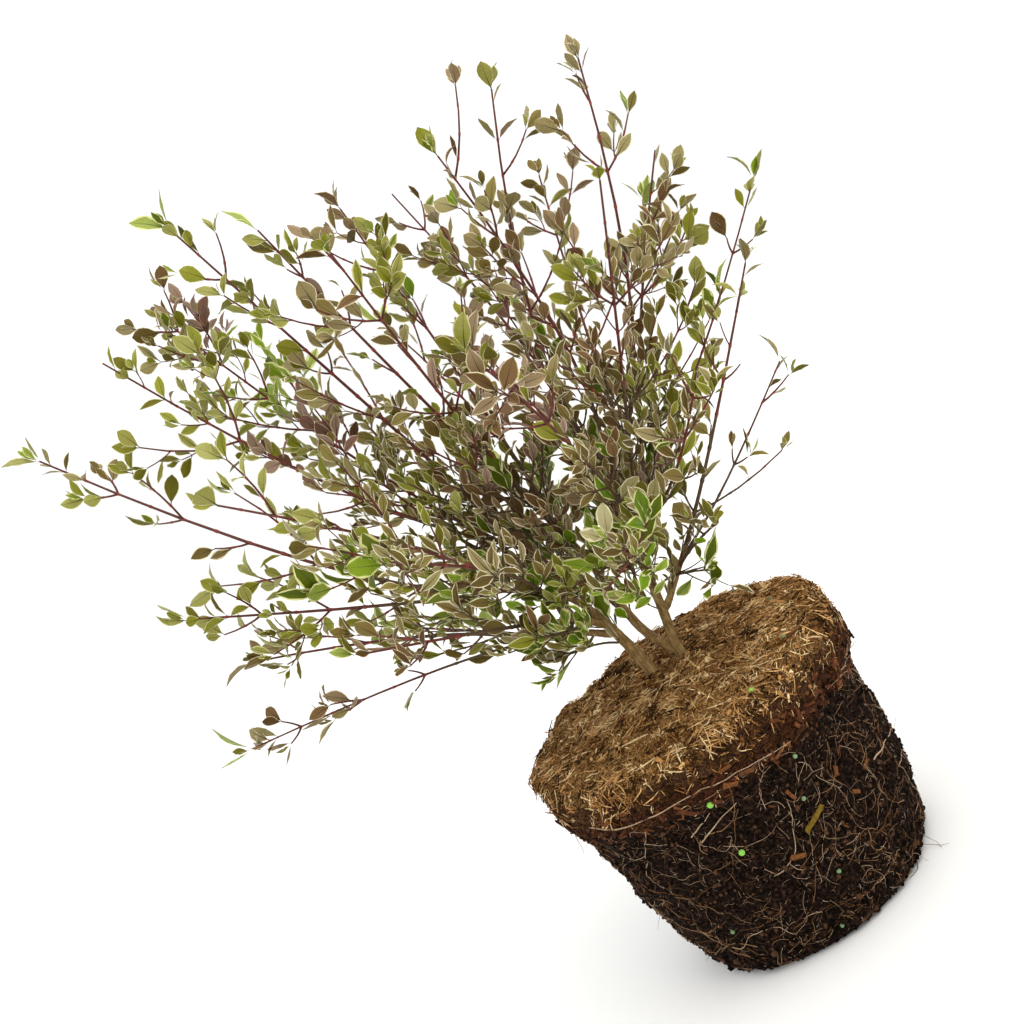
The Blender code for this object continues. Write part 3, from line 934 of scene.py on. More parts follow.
@dataclass(frozen=True)
class LeafShape:
    """Outline and curl of one leaf.

    Attributes:
        width: Width over length.
        widest: Way along the blade of its widest place.
        blunt: Power of its outline; under 1 rounds its ends.
        fold: Slope at which each half rises from the midrib.
        bend: Angle in degrees that it bends back through, from foot to tip.
        margin: Width of its pale margin, in millimetres.
        ragged: Share by which the margin's inner edge wanders.
    """

    width: float
    widest: float
    blunt: float
    fold: float
    bend: float
    margin: float = 0.36
    ragged: float = 0.2

    LENGTH = 13.0
    ROWS = (0.0, 0.1, 0.23, 0.38, 0.54, 0.71, 0.86, 1.0)
    COLUMNS = 5
    PARTS = (1, 0, 2, 0, 1)
    STALK = 0.1
    RIB = 0.22
    VEIN = 0.16
    SWEEP = 0.5
    WAVE = 0.22

    def place(self, column: int, row: int) -> Vector:
        """Where a corner of the grid goes, with +Z along the leaf and +Y out of its upper face."""
        way = self.ROWS[row]
        blade = max(0.0, (way - self.STALK) / (1 - self.STALK))
        power = math.log(0.5) / math.log(self.widest)
        swell = max(0.0, math.sin(math.pi * blade**power)) ** self.blunt
        rib = self.RIB * (1 - blade)
        half = max(rib, self.width * self.LENGTH / 2 * swell)
        wander = 1 + self.ragged * math.sin(2.4 * row + column)
        inner = max(rib, half - self.margin * wander)
        across = (-half, -inner, -rib, rib, inner, half)[column]
        at_side = column not in (2, 3)
        rise = self.fold * abs(across) + (self.VEIN * (row % 2) if at_side and swell else 0.0)
        rise += self.WAVE * math.sin(1.9 * row + 2 * column) * swell * (column in (0, 5))
        along = way * self.LENGTH + (self.SWEEP * swell * (1 - blade) if at_side else 0.0)
        turn = math.radians(self.bend) or 1e-6
        arc = turn * along / self.LENGTH
        reach = self.LENGTH / turn
        back = reach * (math.cos(arc) - 1)
        return Vector((across, back + rise * math.cos(arc), reach * math.sin(arc) + rise * math.sin(arc)))

    def mesh(self, name: str, blade: int) -> bpy.types.Mesh:
        """The leaf as a mesh: its blade in the slot named, its margin in slot 1, its rib in slot 2."""
        rows = len(self.ROWS) - 1
        bm = bmesh.new()
        bmesh.ops.create_grid(bm, x_segments=self.COLUMNS, y_segments=rows, size=0.5)
        for face in bm.faces:
            middle = face.calc_center_median()
            part = self.PARTS[int((middle.x + 0.5) * self.COLUMNS)]
            face.material_index = part or blade
        for corner in bm.verts:
            column = round((corner.co.x + 0.5) * self.COLUMNS)
            row = round((corner.co.y + 0.5) * rows)
            corner.co = self.place(column, row)
        bmesh.ops.remove_doubles(bm, verts=bm.verts, dist=0.01)
        return mesh_from(bm, name)


# Leaves with a thin margin: wide ones, then narrow ones; and leaves with a broad, ragged margin
WIDE_LEAVES = (
    LeafShape(0.48, 0.50, 0.74, 0.24, 18),
    LeafShape(0.54, 0.55, 0.68, 0.16, -14, 0.26),
    LeafShape(0.46, 0.48, 0.78, 0.34, 36),
    LeafShape(0.56, 0.57, 0.66, 0.12, 12, 0.3),
    LeafShape(0.47, 0.47, 0.76, 0.22, 30, 0.45, 0.3),
    LeafShape(0.50, 0.53, 0.72, 0.30, -26, 0.3),
)
NARROW_LEAVES = (
    LeafShape(0.34, 0.48, 0.84, 0.34, 38),
    LeafShape(0.28, 0.46, 0.86, 0.50, 62, 0.3),
    LeafShape(0.38, 0.53, 0.80, 0.30, -30),
    LeafShape(0.31, 0.50, 0.84, 0.44, 10, 0.5, 0.3),
    LeafShape(0.36, 0.47, 0.82, 0.24, 24, 0.4, 0.3),
)
BROAD_MARGIN = (
    LeafShape(0.43, 0.48, 0.78, 0.20, 20, 0.6, 0.5),
    LeafShape(0.48, 0.52, 0.72, 0.12, 6, 0.5, 0.6),
    LeafShape(0.37, 0.46, 0.82, 0.32, 40, 0.5, 0.5),
    LeafShape(0.44, 0.50, 0.76, 0.24, -18, 0.9, 0.7),
)
LEAF_SHAPES = (*WIDE_LEAVES, *NARROW_LEAVES, *BROAD_MARGIN)
# Blade slots: plain, with painted shade, with a painted sheen
BLADE_SLOTS = (0, 3, 4)


@dataclass(frozen=True)
class Rank:
    """Sizes of one rank of shoot.

    Attributes:
        node_step: Millimetres between its nodes.
        first_node: Millimetres from its foot to its first node.
        radii: Radius at foot and tip.
        sides: Corners of its rings.
    """

    node_step: float
    first_node: float
    radii: tuple[float, float]
    sides: int


SIDE_RANK = Rank(10.5, 8.0, (0.55, 0.34), 5)
SPUR_RANK = Rank(7.0, 4.5, (0.4, 0.28), 4)
LEADER_SIDES = 6

# Nodes of a leader: the source's step, halved, and angles at which shoots and leaves leave them
FIRST_NODE = 17.0
LAST_NODE_SHARE = 0.95
TWIG_ANGLE = math.radians(42)
OPENING = math.radians(16)
TIP_REACH = 7.0
TIP_PAIRS = ((13.0, 0.0), (6.0, math.pi / 2))
SHORTEST_SHOOT = 9.0
SPUR_LENGTHS = (9.0, 17.0)
OVERLAP = 9.0
SKY_PULL = 0.2
CUT_BACK = 0.75
BOUGH_STEP = 9.0
BARE_BOUGH = 14.0
BARE_STEM = 28.0
GREEN_GAIN = 1.2
GREEN_CHANCE = 0.012

# Zones round the axis, as distance from it and height; and the dense one, as X, half its width and height
FOOT_ZONE = (66.0, 232.0)
DENSE_ZONE = (2.0, 100.0, 290.0)
OLD_WOOD = (85.0, 262.0)
NARROW_SHARE = 0.85

# Outside the dense zone and in it: pull of a leaf's face outwards, spread of it, lift of its tip, and blades
# as places in BLADE_SLOTS (plain, painted shade, painted sheen), with more painted shade in the dense middle
# and more painted sheen outside it
OUTWARD_PULLS = (0.35, 0.0)
FACING_SPREADS = (0.8, 0.55)
LEAF_LIFTS = (0.3, 0.65)
BLADE_PICKS = ((0, 0, 1, 2, 2, 2), (0, 0, 1, 1, 2))

# Lowest that leaves hang: height at the axis and rise with distance from it, and the same for two sectors
SKIRT = (150.0, 0.2)
SECTOR_SKIRTS = {(250.0, 325.0): (152.0, 0.5), (20.0, 160.0): (138.0, 0.2)}

# Where light shows through the crown: millimetres right and up from the middle of the picture, and radius
OPENINGS = (
    (-174, -13, 9), (-149, -9, 9), (-61, 155, 9), (32, -69, 6), (116, 19, 9), (127, 83, 9),
    (-195, 68, 8), (-118, -13, 8), (-27, 185, 8), (-18, 164, 8), (-12, -76, 8), (3, -74, 6),
    (37, 186, 8), (64, 182, 8), (102, -26, 8), (104, 57, 8), (112, 66, 8), (128, 121, 8),
    (-191, 36, 7), (-176, 54, 7), (-169, 100, 7), (-133, -8, 7), (-129, -63, 7), (-127, 1, 7),
    (-117, -2, 7), (-73, 143, 7), (-52, -80, 7), (-45, 63, 7), (-38, 152, 7), (-15, 186, 7),
    (59, 159, 7), (84, 172, 7), (98, 8, 7), (98, 49, 7), (-180, 94, 6), (-174, 119, 6),
    (-158, 2, 6), (-116, 113, 6), (-113, -76, 6), (-113, 135, 6), (-106, 102, 6), (-101, 94, 6),
    (-98, -85, 6), (-81, 6, 6), (-79, 114, 6), (-74, 52, 6), (-71, 79, 6), (-63, 140, 6),
    (-62, -83, 6), (-62, -70, 6), (-56, 62, 6), (-28, -77, 6), (0, 168, 6), (15, 187, 6),
    (38, 202, 6), (41, 131, 6), (42, 147, 6), (82, 72, 6), (97, 139, 6), (101, 88, 6),
    (101, -12, 6), (102, 110, 6), (117, 44, 6), (-167, 58, 5), (-163, 30, 5), (-154, 118, 5),
    (-130, 114, 5), (-127, -31, 5), (-101, 10, 5), (-95, 136, 5), (-95, 88, 5), (-80, -70, 5),
    (-57, 72, 5), (-40, 54, 5), (-34, 85, 5), (17, 123, 5), (36, 139, 5), (38, 124, 5),
    (44, 85, 5), (46, 91, 5), (94, 34, 5), (106, 79, 5), (7, 109, 6), (36, 167, 6),
    (51, 138, 6), (-51, 138, 6), (80, -22, 6), (-94, 7, 5),
)


class Shoots:
    """Grows one mass: its leader, side shoots, spurs and leaves."""

    def __init__(self, size: MassSize, space: Space, crown: "Crown") -> None:
        """Sets up a mass.

        Args:
            size: Its place, seed, habit and tints.
            space: The room it may fill.
            crown: Takes its shoots and leaves.
        """
        self.size = size
        self.growth: Growth = size.habit.value
        self.space = space
        self.rng = random.Random(size.seed)
        self.paint = random.Random(size.seed + 1)
        self.crown = crown

    def tint_at(self, point: Vector) -> Tint:
        """A tint for a spray at a point: the plant's foot is greener and creamier."""
        palette = self.size.palette
        if within(point, FOOT_ZONE) and self.paint.random() < 0.4:
            palette = Palette.CREAM
        return palette.draw(self.paint)

    def leaf(self, base: Vector, along: Vector, facing: Vector, length: float, tint: Tint) -> None:
        """A leaf, where it is clear.

        Args:
            base: Foot of its stalk.
            along: Direction from foot to tip.
            facing: Rough direction of its upper face.
            length: Length in millimetres.
            tint: Its tint.
        """
        dense = in_dense(base)
        if tint in GREENS:
            length *= GREEN_GAIN
        along = (along + UP * LEAF_LIFTS[dense]).normalized()
        facing = facing + Vector((base.x, base.y, 0)).normalized() * OUTWARD_PULLS[dense]
        facing += Vector([self.rng.gauss(0, FACING_SPREADS[dense]) for axis in range(3)])
        face = (facing - along * facing.dot(along)).normalized()
        place = Matrix((face.cross(along), face, along)).transposed().to_4x4()
        place.translation = base
        places = [base + along * (length * way) for way in (0.4, 0.7, 1.0)]
        if not self.fits(places[1]) or any(VIEW.open_at(spot) for spot in places):
            return
        if not self.space.clear(places):
            return
        if self.paint.random() < GREEN_CHANCE:
            tint = Tint.DEEP
        shape = LEAF_SHAPES.index(self.paint.choice(self.shapes_for(tint, dense)))
        # The blade is drawn as plain, with painted shade, or with a painted sheen; the dense middle gets
        # more painted shade
        shape += len(LEAF_SHAPES) * self.paint.choice(BLADE_PICKS[dense])
        stretch = Matrix.Diagonal((self.paint.uniform(0.88, 1.12), 1, 1, 1))
        self.crown.leaves[tint].append((shape, place @ Matrix.Scale(length / LeafShape.LENGTH, 4) @ stretch))

    def fits(self, point: Vector) -> bool:
        """Whether a point lies above the crown's skirt, which the lowest shoots don't keep to."""
        return self.size.habit is Habit.FOOT or not hangs_low(point)

    def shapes_for(self, tint: Tint, dense: bool) -> tuple[LeafShape, ...]:
        """The leaf shapes to draw from for a leaf of a tint, in the dense zone or out of it."""
        if tint in GREENS and self.paint.random() < 0.75:
            return BROAD_MARGIN
        narrow = max(self.growth.narrow, NARROW_SHARE * dense)
        return NARROW_LEAVES if self.paint.random() < narrow else WIDE_LEAVES

    def leaf_angle(self) -> float:
        """An angle between a leaf and its shoot, in radians."""
        return math.radians(self.rng.uniform(*self.growth.angles))

    def pair(
        self, point: Vector, ahead: Vector, angle: float, length: float, tint: Tint, lean: float = 0.0
    ) -> None:
        """Two opposite leaves at a node.

        Args:
            point: The node.
            ahead: Heading of the shoot.
            angle: Angle of the pair round it.
            length: Length of the leaves.
            tint: Their tint.
            lean: Angle from the shoot, or 0 to draw one.
        """
        for side in (turned(ahead, angle), -turned(ahead, angle)):
            tilt = lean or self.leaf_angle()
            along = leaning(ahead, side, tilt)
            size = length * self.rng.uniform(0.86, 1.1)
            self.leaf(point + side * 0.3, along, ahead + UP * SKY_PULL, size, tint)

    def tip(self, point: Vector, ahead: Vector, angle: float, length: float, tint: Tint) -> None:
        """The end of a shoot: a pair held forward and a small new pair between."""
        self.pair(point, ahead, angle, length * 0.95, tint, math.radians(self.rng.uniform(24, 46)))
        above = point + ahead * 1.6
        self.pair(above, ahead, angle + math.pi / 2, length * 0.5, self.newer(tint), math.radians(22))

    def newer(self, tint: Tint) -> Tint:
        """The tint of young growth on a spray."""
        if tint in (Tint.BRONZE, Tint.MAUVE, Tint.KHAKI):
            return self.paint.choice((Tint.KHAKI, Tint.OLIVE, tint))
        return self.paint.choice((Tint.FRESH, Tint.OLIVE, tint, Tint.LIME))

    def shoot_from(
        self, point: Vector, ahead: Vector, side: Vector, reach: float, rank: Rank
    ) -> Limb | None:
        """A shoot that leaves a node and opens outwards, cut back to the space.

        Args:
            point: The node.
            ahead: Heading of the limb that bears it.
            side: Side on which it leaves.
            reach: Length it would have.
            rank: Its rank.

        Returns:
            Its limb, or None where none fits.
        """
        start = leaning(ahead, side, TWIG_ANGLE + OPENING / 2)
        later = leaning(ahead, side, TWIG_ANGLE - OPENING + self.rng.gauss(0, 0.08))
        while reach > SHORTEST_SHOOT * 0.7:
            control = point + start * (reach * 0.45)
            path = bowed(point, control, control + later * (reach * 0.55), 5)
            ends = (path[-1], path[-1] + later * TIP_REACH)
            if self.fits(path[-1]) and not any(map(VIEW.open_at, ends)) and self.space.holds(path[2:]):
                return Limb(path, rank.radii)
            reach *= CUT_BACK
        return None

    def side_shoot(
        self, point: Vector, ahead: Vector, side: Vector, reach: float, spur_chance: float
    ) -> bool:
        """A side shoot with its leaves and spurs. False where none fits."""
        limb = self.shoot_from(point, ahead, side, reach, SIDE_RANK)
        if limb is None:
            return False
        tint = self.tint_at(limb.path[-1])
        angle = self.rng.uniform(0, math.pi)
        nodes = self.nodes_of(limb, SIDE_RANK)
        for share in nodes:
            where, heading = limb.at(share)
            angle += math.pi / 2
            for flank in (turned(heading, angle), -turned(heading, angle)):
                if share < 0.7 and self.rng.random() < spur_chance:
                    if self.spur(where, heading, flank, tint):
                        continue
                along = leaning(heading, flank, self.leaf_angle())
                size = self.rng.uniform(*self.growth.leaf) * (0.82 + 0.18 * share)
                self.leaf(where + flank * 0.3, along, heading + UP * SKY_PULL, size, tint)
        where, heading = limb.at(1.0)
        self.tip(where, heading, angle + math.pi / 2, self.rng.uniform(*self.growth.leaf), tint)
        self.crown.add_tube(limb, nodes, SIDE_RANK.sides)
        return True

    def spur(self, point: Vector, ahead: Vector, side: Vector, tint: Tint) -> bool:
        """A spur: a few millimetres of shoot with one or two pairs of leaves. False where none fits."""
        limb = self.shoot_from(point, ahead, side, self.rng.uniform(*SPUR_LENGTHS), SPUR_RANK)
        if limb is None:
            return False
        angle = self.rng.uniform(0, math.pi)
        for share in self.nodes_of(limb, SPUR_RANK):
            where, heading = limb.at(share)
            angle += math.pi / 2
            self.pair(where, heading, angle, self.rng.uniform(*self.growth.leaf) * 0.8, tint)
        where, heading = limb.at(1.0)
        self.tip(where, heading, angle + math.pi / 2, self.rng.uniform(*self.growth.leaf) * 0.9, tint)
        self.crown.add_tube(limb, [], SPUR_RANK.sides)
        return True

    def nodes_of(self, limb: Limb, rank: Rank) -> list[float]:
        """Shares of a shoot's length at which it has nodes."""
        places = []
        place = rank.first_node * self.rng.uniform(0.85, 1.15)
        while place < limb.length - rank.node_step * 0.45:
            places.append(place / limb.length)
            place += rank.node_step * self.rng.uniform(0.85, 1.2)
        return places

    def grow(self) -> None:
        """Bears side shoots, spurs or leaves at each node of the leader, and its tip."""
        leader = self.space.own
        total = leader.length
        start = self.rng.uniform(0, math.pi)
        shares = []
        step = 0
        while (FIRST_NODE + step * self.growth.step) / total < LAST_NODE_SHARE:
            shares.append((FIRST_NODE + step * self.growth.step) / total)
            step += 1
        for step, share in enumerate(shares):
            if share < self.growth.bare:
                continue
            point, ahead = leader.at(share)
            angle = start + math.pi / 2 * (step / 2 + 1)
            reach = self.reach_at(step, (1 - share) * total)
            if not reach and self.rng.random() > self.growth.between:
                continue
            for side in (turned(ahead, angle), -turned(ahead, angle)):
                self.bear(point, ahead, side, reach)
        point, ahead = leader.at(1.0)
        tint = self.tint_at(point)
        for back, angle in TIP_PAIRS:
            self.pair(leader.at(1 - back / total)[0], ahead, start + angle, self.growth.leaf[0], tint)
        self.tip(point, ahead, start, self.growth.leaf[1], self.newer(tint))
        self.crown.add_tube(leader, shares, LEADER_SIDES)

    def reach_at(self, step: int, left: float) -> float:
        """Length of the side shoots at a place along the leader.

        Args:
            step: Number of the place; every second one is a node of the rule.
            left: What is left of the leader beyond it.

        Returns:
            Their length, or 0 where it bears leaves.
        """
        if step % 4 == 0:
            return min(max(left * self.growth.side_reach, self.growth.short[1]), self.growth.longest) + 8
        if step % 4 == 2:
            return self.rng.uniform(*self.growth.short)
        return 0.0

    def bear(self, point: Vector, ahead: Vector, side: Vector, reach: float) -> None:
        """Bears a side shoot, a spur or a leaf on one side of a node.

        Args:
            point: The node.
            ahead: Heading of the limb there.
            side: The side.
            reach: Length of the side shoot, or 0 for a spur or a leaf.
        """
        chance = self.growth.spur if reach > self.growth.short[1] else 0.0
        if reach and self.side_shoot(point, ahead, side, reach * self.rng.uniform(0.85, 1.1), chance):
            return
        tint = self.tint_at(point)
        if self.rng.random() < self.growth.spur and self.spur(point, ahead, side, tint):
            return
        along = leaning(ahead, side, self.leaf_angle())
        length = self.rng.uniform(*self.growth.leaf)
        self.leaf(point + side * 0.5, along, ahead + UP * SKY_PULL, length, tint)

    def grow_bough(self, bare: float) -> None:
        """Bears spurs and leaves along a bough or stem, past the bare stretch at its foot."""
        bough = self.space.own
        angle = self.rng.uniform(0, math.pi)
        place = bare
        while place < bough.length - 3:
            point, ahead = bough.at(place / bough.length)
            radius = bough.radius(place / bough.length)
            for side in (turned(ahead, angle), -turned(ahead, angle)):
                tint = self.tint_at(point)
                if self.rng.random() < 0.75 and self.spur(point + side * (radius - 0.3), ahead, side, tint):
                    continue
                along = leaning(ahead, side, self.leaf_angle())
                self.leaf(point + side * radius, along, ahead, self.rng.uniform(*self.growth.leaf), tint)
            angle += math.pi / 2
            place += BOUGH_STEP * self.rng.uniform(0.85, 1.15)


@dataclass
class Crown:
    """All shoots and leaves.

    Attributes:
        skeleton: The limbs it grows on.
        node_swell: How much thicker a shoot is at a node.
        node_length: How far that swelling reaches along it, in millimetres.
    """

    skeleton: Skeleton
    node_swell: float = 1.35
    node_length: float = 1.4
    leaves: dict[Tint, list[tuple[int, Matrix]]] = field(default_factory=lambda: {tint: [] for tint in Tint})
    twigs: Heap = field(default_factory=Heap)

    OLD, YOUNG, NODE = range(3)
    SHOOT_FINISHES = {
        "old_shoot": PlainFinish("#54402b", 0.65, 0.25, 0.0, 0.4),
        "young_shoot": PlainFinish("#58281d", 0.5, 0.3, 0.0, 0.35),
        "shoot_node": PlainFinish("#752f26", 0.5, 0.3, 0.0, 0.3),
    }

    def add_tube(self, limb: Limb, nodes: Sequence[float], sides: int) -> None:
        """Adds a shoot to the twigs, swollen and redder at its nodes.

        Args:
            limb: The shoot.
            nodes: Shares of its length at which it has nodes.
            sides: Corners of its rings.
        """
        rings: dict[float, float] = {place / limb.length: 1.0 for place in limb.places}
        half = self.node_length / limb.length
        for node in nodes:
            for share in [ring for ring in rings if abs(ring - node) < 1.5 * half]:
                del rings[share]
            rings |= {node - half: 1.0, node: self.node_swell, node + half: 1.05}
        shares = sorted(share for share in rings if 0 <= share <= 1)
        path = [limb.at(share)[0] for share in shares]
        radii = [limb.radius(share) * rings[share] for share in shares]
        slots = [self.slot_at(limb, (low + high) / 2, nodes) for low, high in zip(shares, shares[1:])]
        self.twigs.take(swept(path, radii, sides, slots))

    def slot_at(self, limb: Limb, share: float, nodes: Sequence[float]) -> int:
        """Slot of a shoot's bark at a share of its length, given the shares of its nodes."""
        place = limb.at(share)[0]
        if within(place, OLD_WOOD):
            return self.OLD
        near = any(abs(share - node) * limb.length < self.node_length for node in nodes)
        return self.NODE if near else self.YOUNG

    def grow(self) -> None:
        """Grows every mass."""
        for name, size in MASSES.items():
            Shoots(size, Space(self.skeleton, name, OVERLAP), self).grow()
        for seed, name in enumerate([*self.skeleton.boughs, *self.skeleton.stems]):
            inner = MassSize(name, 0, 0, 0, 100 + seed, Habit.INNER, Palette.SAGE)
            bare = BARE_STEM if name in self.skeleton.stems else BARE_BOUGH
            Shoots(inner, Space(self.skeleton, name, OVERLAP), self).grow_bough(bare)

    def build(self) -> None:
        """Makes the joined pieces of twigs and of each tint of leaf."""
        self.grow()
        twigs = self.twigs.mesh("shoots")
        finishes = [finish.material(name) for name, finish in self.SHOOT_FINISHES.items()]
        finished(twigs, "shoots", finishes, MASSES)
        shapes = [shape.mesh("leaf", slot) for slot in BLADE_SLOTS for shape in LEAF_SHAPES]
        total = 0
        for tint, places in self.leaves.items():
            heap = Heap()
            for shape, place in places:
                heap.add(shapes[shape], place)
            name = f"{tint.name.lower()}_leaves"
            finished(heap.mesh(name), name, tint.value.materials(name))
            total += len(places)
        for shape in shapes:
            bpy.data.meshes.remove(shape)
        log.info("%d leaves", total)


@dataclass
class Wood:
    """Stems and boughs, each joined into one smooth body with the bark's relief.

    Attributes:
        skeleton: The limbs.
        voxel: Grain of the joined body, in millimetres.
        sides: Corners of a limb's rings.
        flare: How much thicker a stem is at the mulch.
        fork_flare: How much thicker a limb is where it leaves another.
        relief: Height of the bark's ridges, in millimetres.
    """

    skeleton: Skeleton
    voxel: float = 0.5
    sides: int = 14
    flare: float = 1.35
    fork_flare: float = 1.3
    relief: float = 0.16

    def limb_bmesh(self, limb: Limb, flare: float) -> bmesh.types.BMesh:
        """A limb as a tube that flares at its foot."""
        count = max(6, int(limb.length / 4))
        shares = [index / count for index in range(count + 1)]
        path = [limb.at(share)[0] for share in shares]
        flares = [1 + (flare - 1) * max(0.0, 1 - share * limb.length / 9) ** 2 for share in shares]
        radii = [limb.radius(share) * wider for share, wider in zip(shares, flares)]
        return swept(path, radii, self.sides)

    def joined(self, limbs: Iterable[Limb], flare: float, name: str) -> bpy.types.Mesh:
        """Limbs melted into one body by a voxel remesh, with ridged bark."""
        heap = Heap()
        for limb in limbs:
            heap.take(self.limb_bmesh(limb, flare))
        rough = bpy.data.objects.new(name, heap.mesh(name))
        bpy.context.scene.collection.objects.link(rough)
        melt = rough.modifiers.new("Melt", "REMESH")
        melt.mode = "VOXEL"
        melt.voxel_size = self.voxel
        bpy.context.view_layer.update()
        evaluated = rough.evaluated_get(bpy.context.evaluated_depsgraph_get())
        melted = bpy.data.meshes.new_from_object(evaluated)
        bpy.data.objects.remove(rough)
        bm = bmesh.new()
        bm.from_mesh(melted)
        bpy.data.meshes.remove(melted)
        for turn in range(3):
            bmesh.ops.smooth_vert(
                bm, verts=bm.verts, factor=0.5, use_axis_x=True, use_axis_y=True, use_axis_z=True
            )
        bm.normal_update()
        for corner in bm.verts:
            streak = Vector((corner.co.x * 1.3, corner.co.y * 1.3, corner.co.z * 0.16))
            rise = self.relief * noise.noise(streak) + 0.1 * noise.noise(corner.co * 0.35)
            corner.co += corner.normal * rise
        return mesh_from(bm, name)

    def build(self) -> None:
        """Makes the pieces of bark."""
        bark = BarkFinish().material("bark")
        stems = self.joined(self.skeleton.stems.values(), self.flare, "stem_bark")
        finished(stems, "stem_bark", [bark], self.skeleton.stems)
        boughs = self.joined(self.skeleton.boughs.values(), self.fork_flare, "bough_bark")
        finished(boughs, "bough_bark", [bark], self.skeleton.boughs)


# Litter: how strongly its tints gather in patches, and the patches' size in millimetres
PATCHINESS = 0.75
PATCH_SIZE = 8.0
ROOT_STEP = 2.2
LOW_PLACE = 8.0
PAD_COUNT = 42
PAD_SLOTS = ((0, 1, 1), (1, 2, 2), (2, 3, 3), (1, 1, 2), (3, 4, 4), (1, 2, 3), (2, 2, 3))
MULCH_TINTS = {
    "straw": "#ecc998",
    "tan": "#cfa46c",
    "ochre": "#a47744",
    "brown": "#68431f",
    "dark": "#301d0a",
}
CHIP_TINTS = {
    "orange": "#6a4024",
    "tan": "#5f3c25",
    "rust": "#54301d",
    "umber": "#382013",
    "ochre": "#69531d",
}
CRUMB_TINTS = {"brown": "#4c3423", "dark": "#21140c", "black": "#0c0603"}
ROOT_TINTS = {"tan": "#967453", "pale": "#b0967a", "brown": "#6b4a30"}
HAIR_TINTS = {"pale": "#c2b19c", "tan": "#93806c", "brown": "#5e4838"}


class Zone(Enum):
    """Stretches of the ball's outline, as ways along it in millimetres from the underside's rim."""

    FOOT = (2.0, 20.0)
    PEAT = (1.0, 106.0)
    RING = (100.0, 117.0)
    BAND = (113.0, 129.0)
    TOP = (123.0, 205.0)


@dataclass(frozen=True)
class Scatter:
    """How a zone of the ball is strewn.

    Attributes:
        zone: The zone.
        count: How many copies go there.
        weights: How often each tint comes up.
        spin: Middle and spread of their turn from straight up the outline, in radians.
    """

    zone: Zone
    count: int
    weights: tuple[float, ...]
    spin: tuple[float, float] = (0.0, 9.0)


@dataclass(frozen=True)
class RootKind:
    """A kind of root that creeps over the peat.

    Attributes:
        count: How many there are.
        lengths: Shortest and longest, in millimetres.
        radii: Thinnest and thickest, in millimetres.
        wander: Spread of its turn at each step, in radians.
        forks: Most forks that one can have.
    """

    count: int
    lengths: tuple[float, float]
    radii: tuple[float, float]
    wander: float
    forks: int


ROOT_KINDS = (
    RootKind(110, (18.0, 62.0), (0.15, 0.30), 0.15, 3),
    RootKind(300, (8.0, 32.0), (0.09, 0.17), 0.24, 1),
)

# Seen in the photograph, each as way along the outline and degrees from +X
BRIGHT_BEADS = ((102, -104), (72, -106), (134, -71), (88, 64), (52, 148))
DULL_BEADS = (
    (142, -39),
    (96, -73),
    (36, -82),
    (10, -93),
    (34, -131),
    (76, -78),
    (146, 9),
    (60, 30),
    (98, 100),
    (24, 170),
)
STRAW_PADS = (
    (174, -103),
    (167, -170),
    (136, -178),
    (156, 53),
    (150, -60),
    (186, -140),
    (140, 120),
    (170, 20),
)
LONG_ROOTS = (
    ((112, -150), (109, -127), (111, -103), (104, -72)),
    ((90, -117), (98, -106)),
    ((86, -115), (96, -97)),
    ((62, -45), (58, -22)),
)
STRAY_ROOTS = ((100, -172), (46, -6), (100, -20), (6, -39), (30, -140), (118, 172), (88, 40), (70, 130))
# Way, degrees from +X, turn from straight up the outline, length and width
LOOSE_CHIPS = (
    (56, -91, 64, 8.0, 2.8),
    (82, -81, 15, 6.5, 2.0),
    (74, -62, -20, 5.5, 2.2),
    (106, -95, 60, 7.0, 3.0),
    (60, -60, 50, 5.0, 2.4),
    (48, 100, 30, 8.0, 3.0),
)
OCHRE_STICK = (65, -79, -66, 15.0, 3.2)


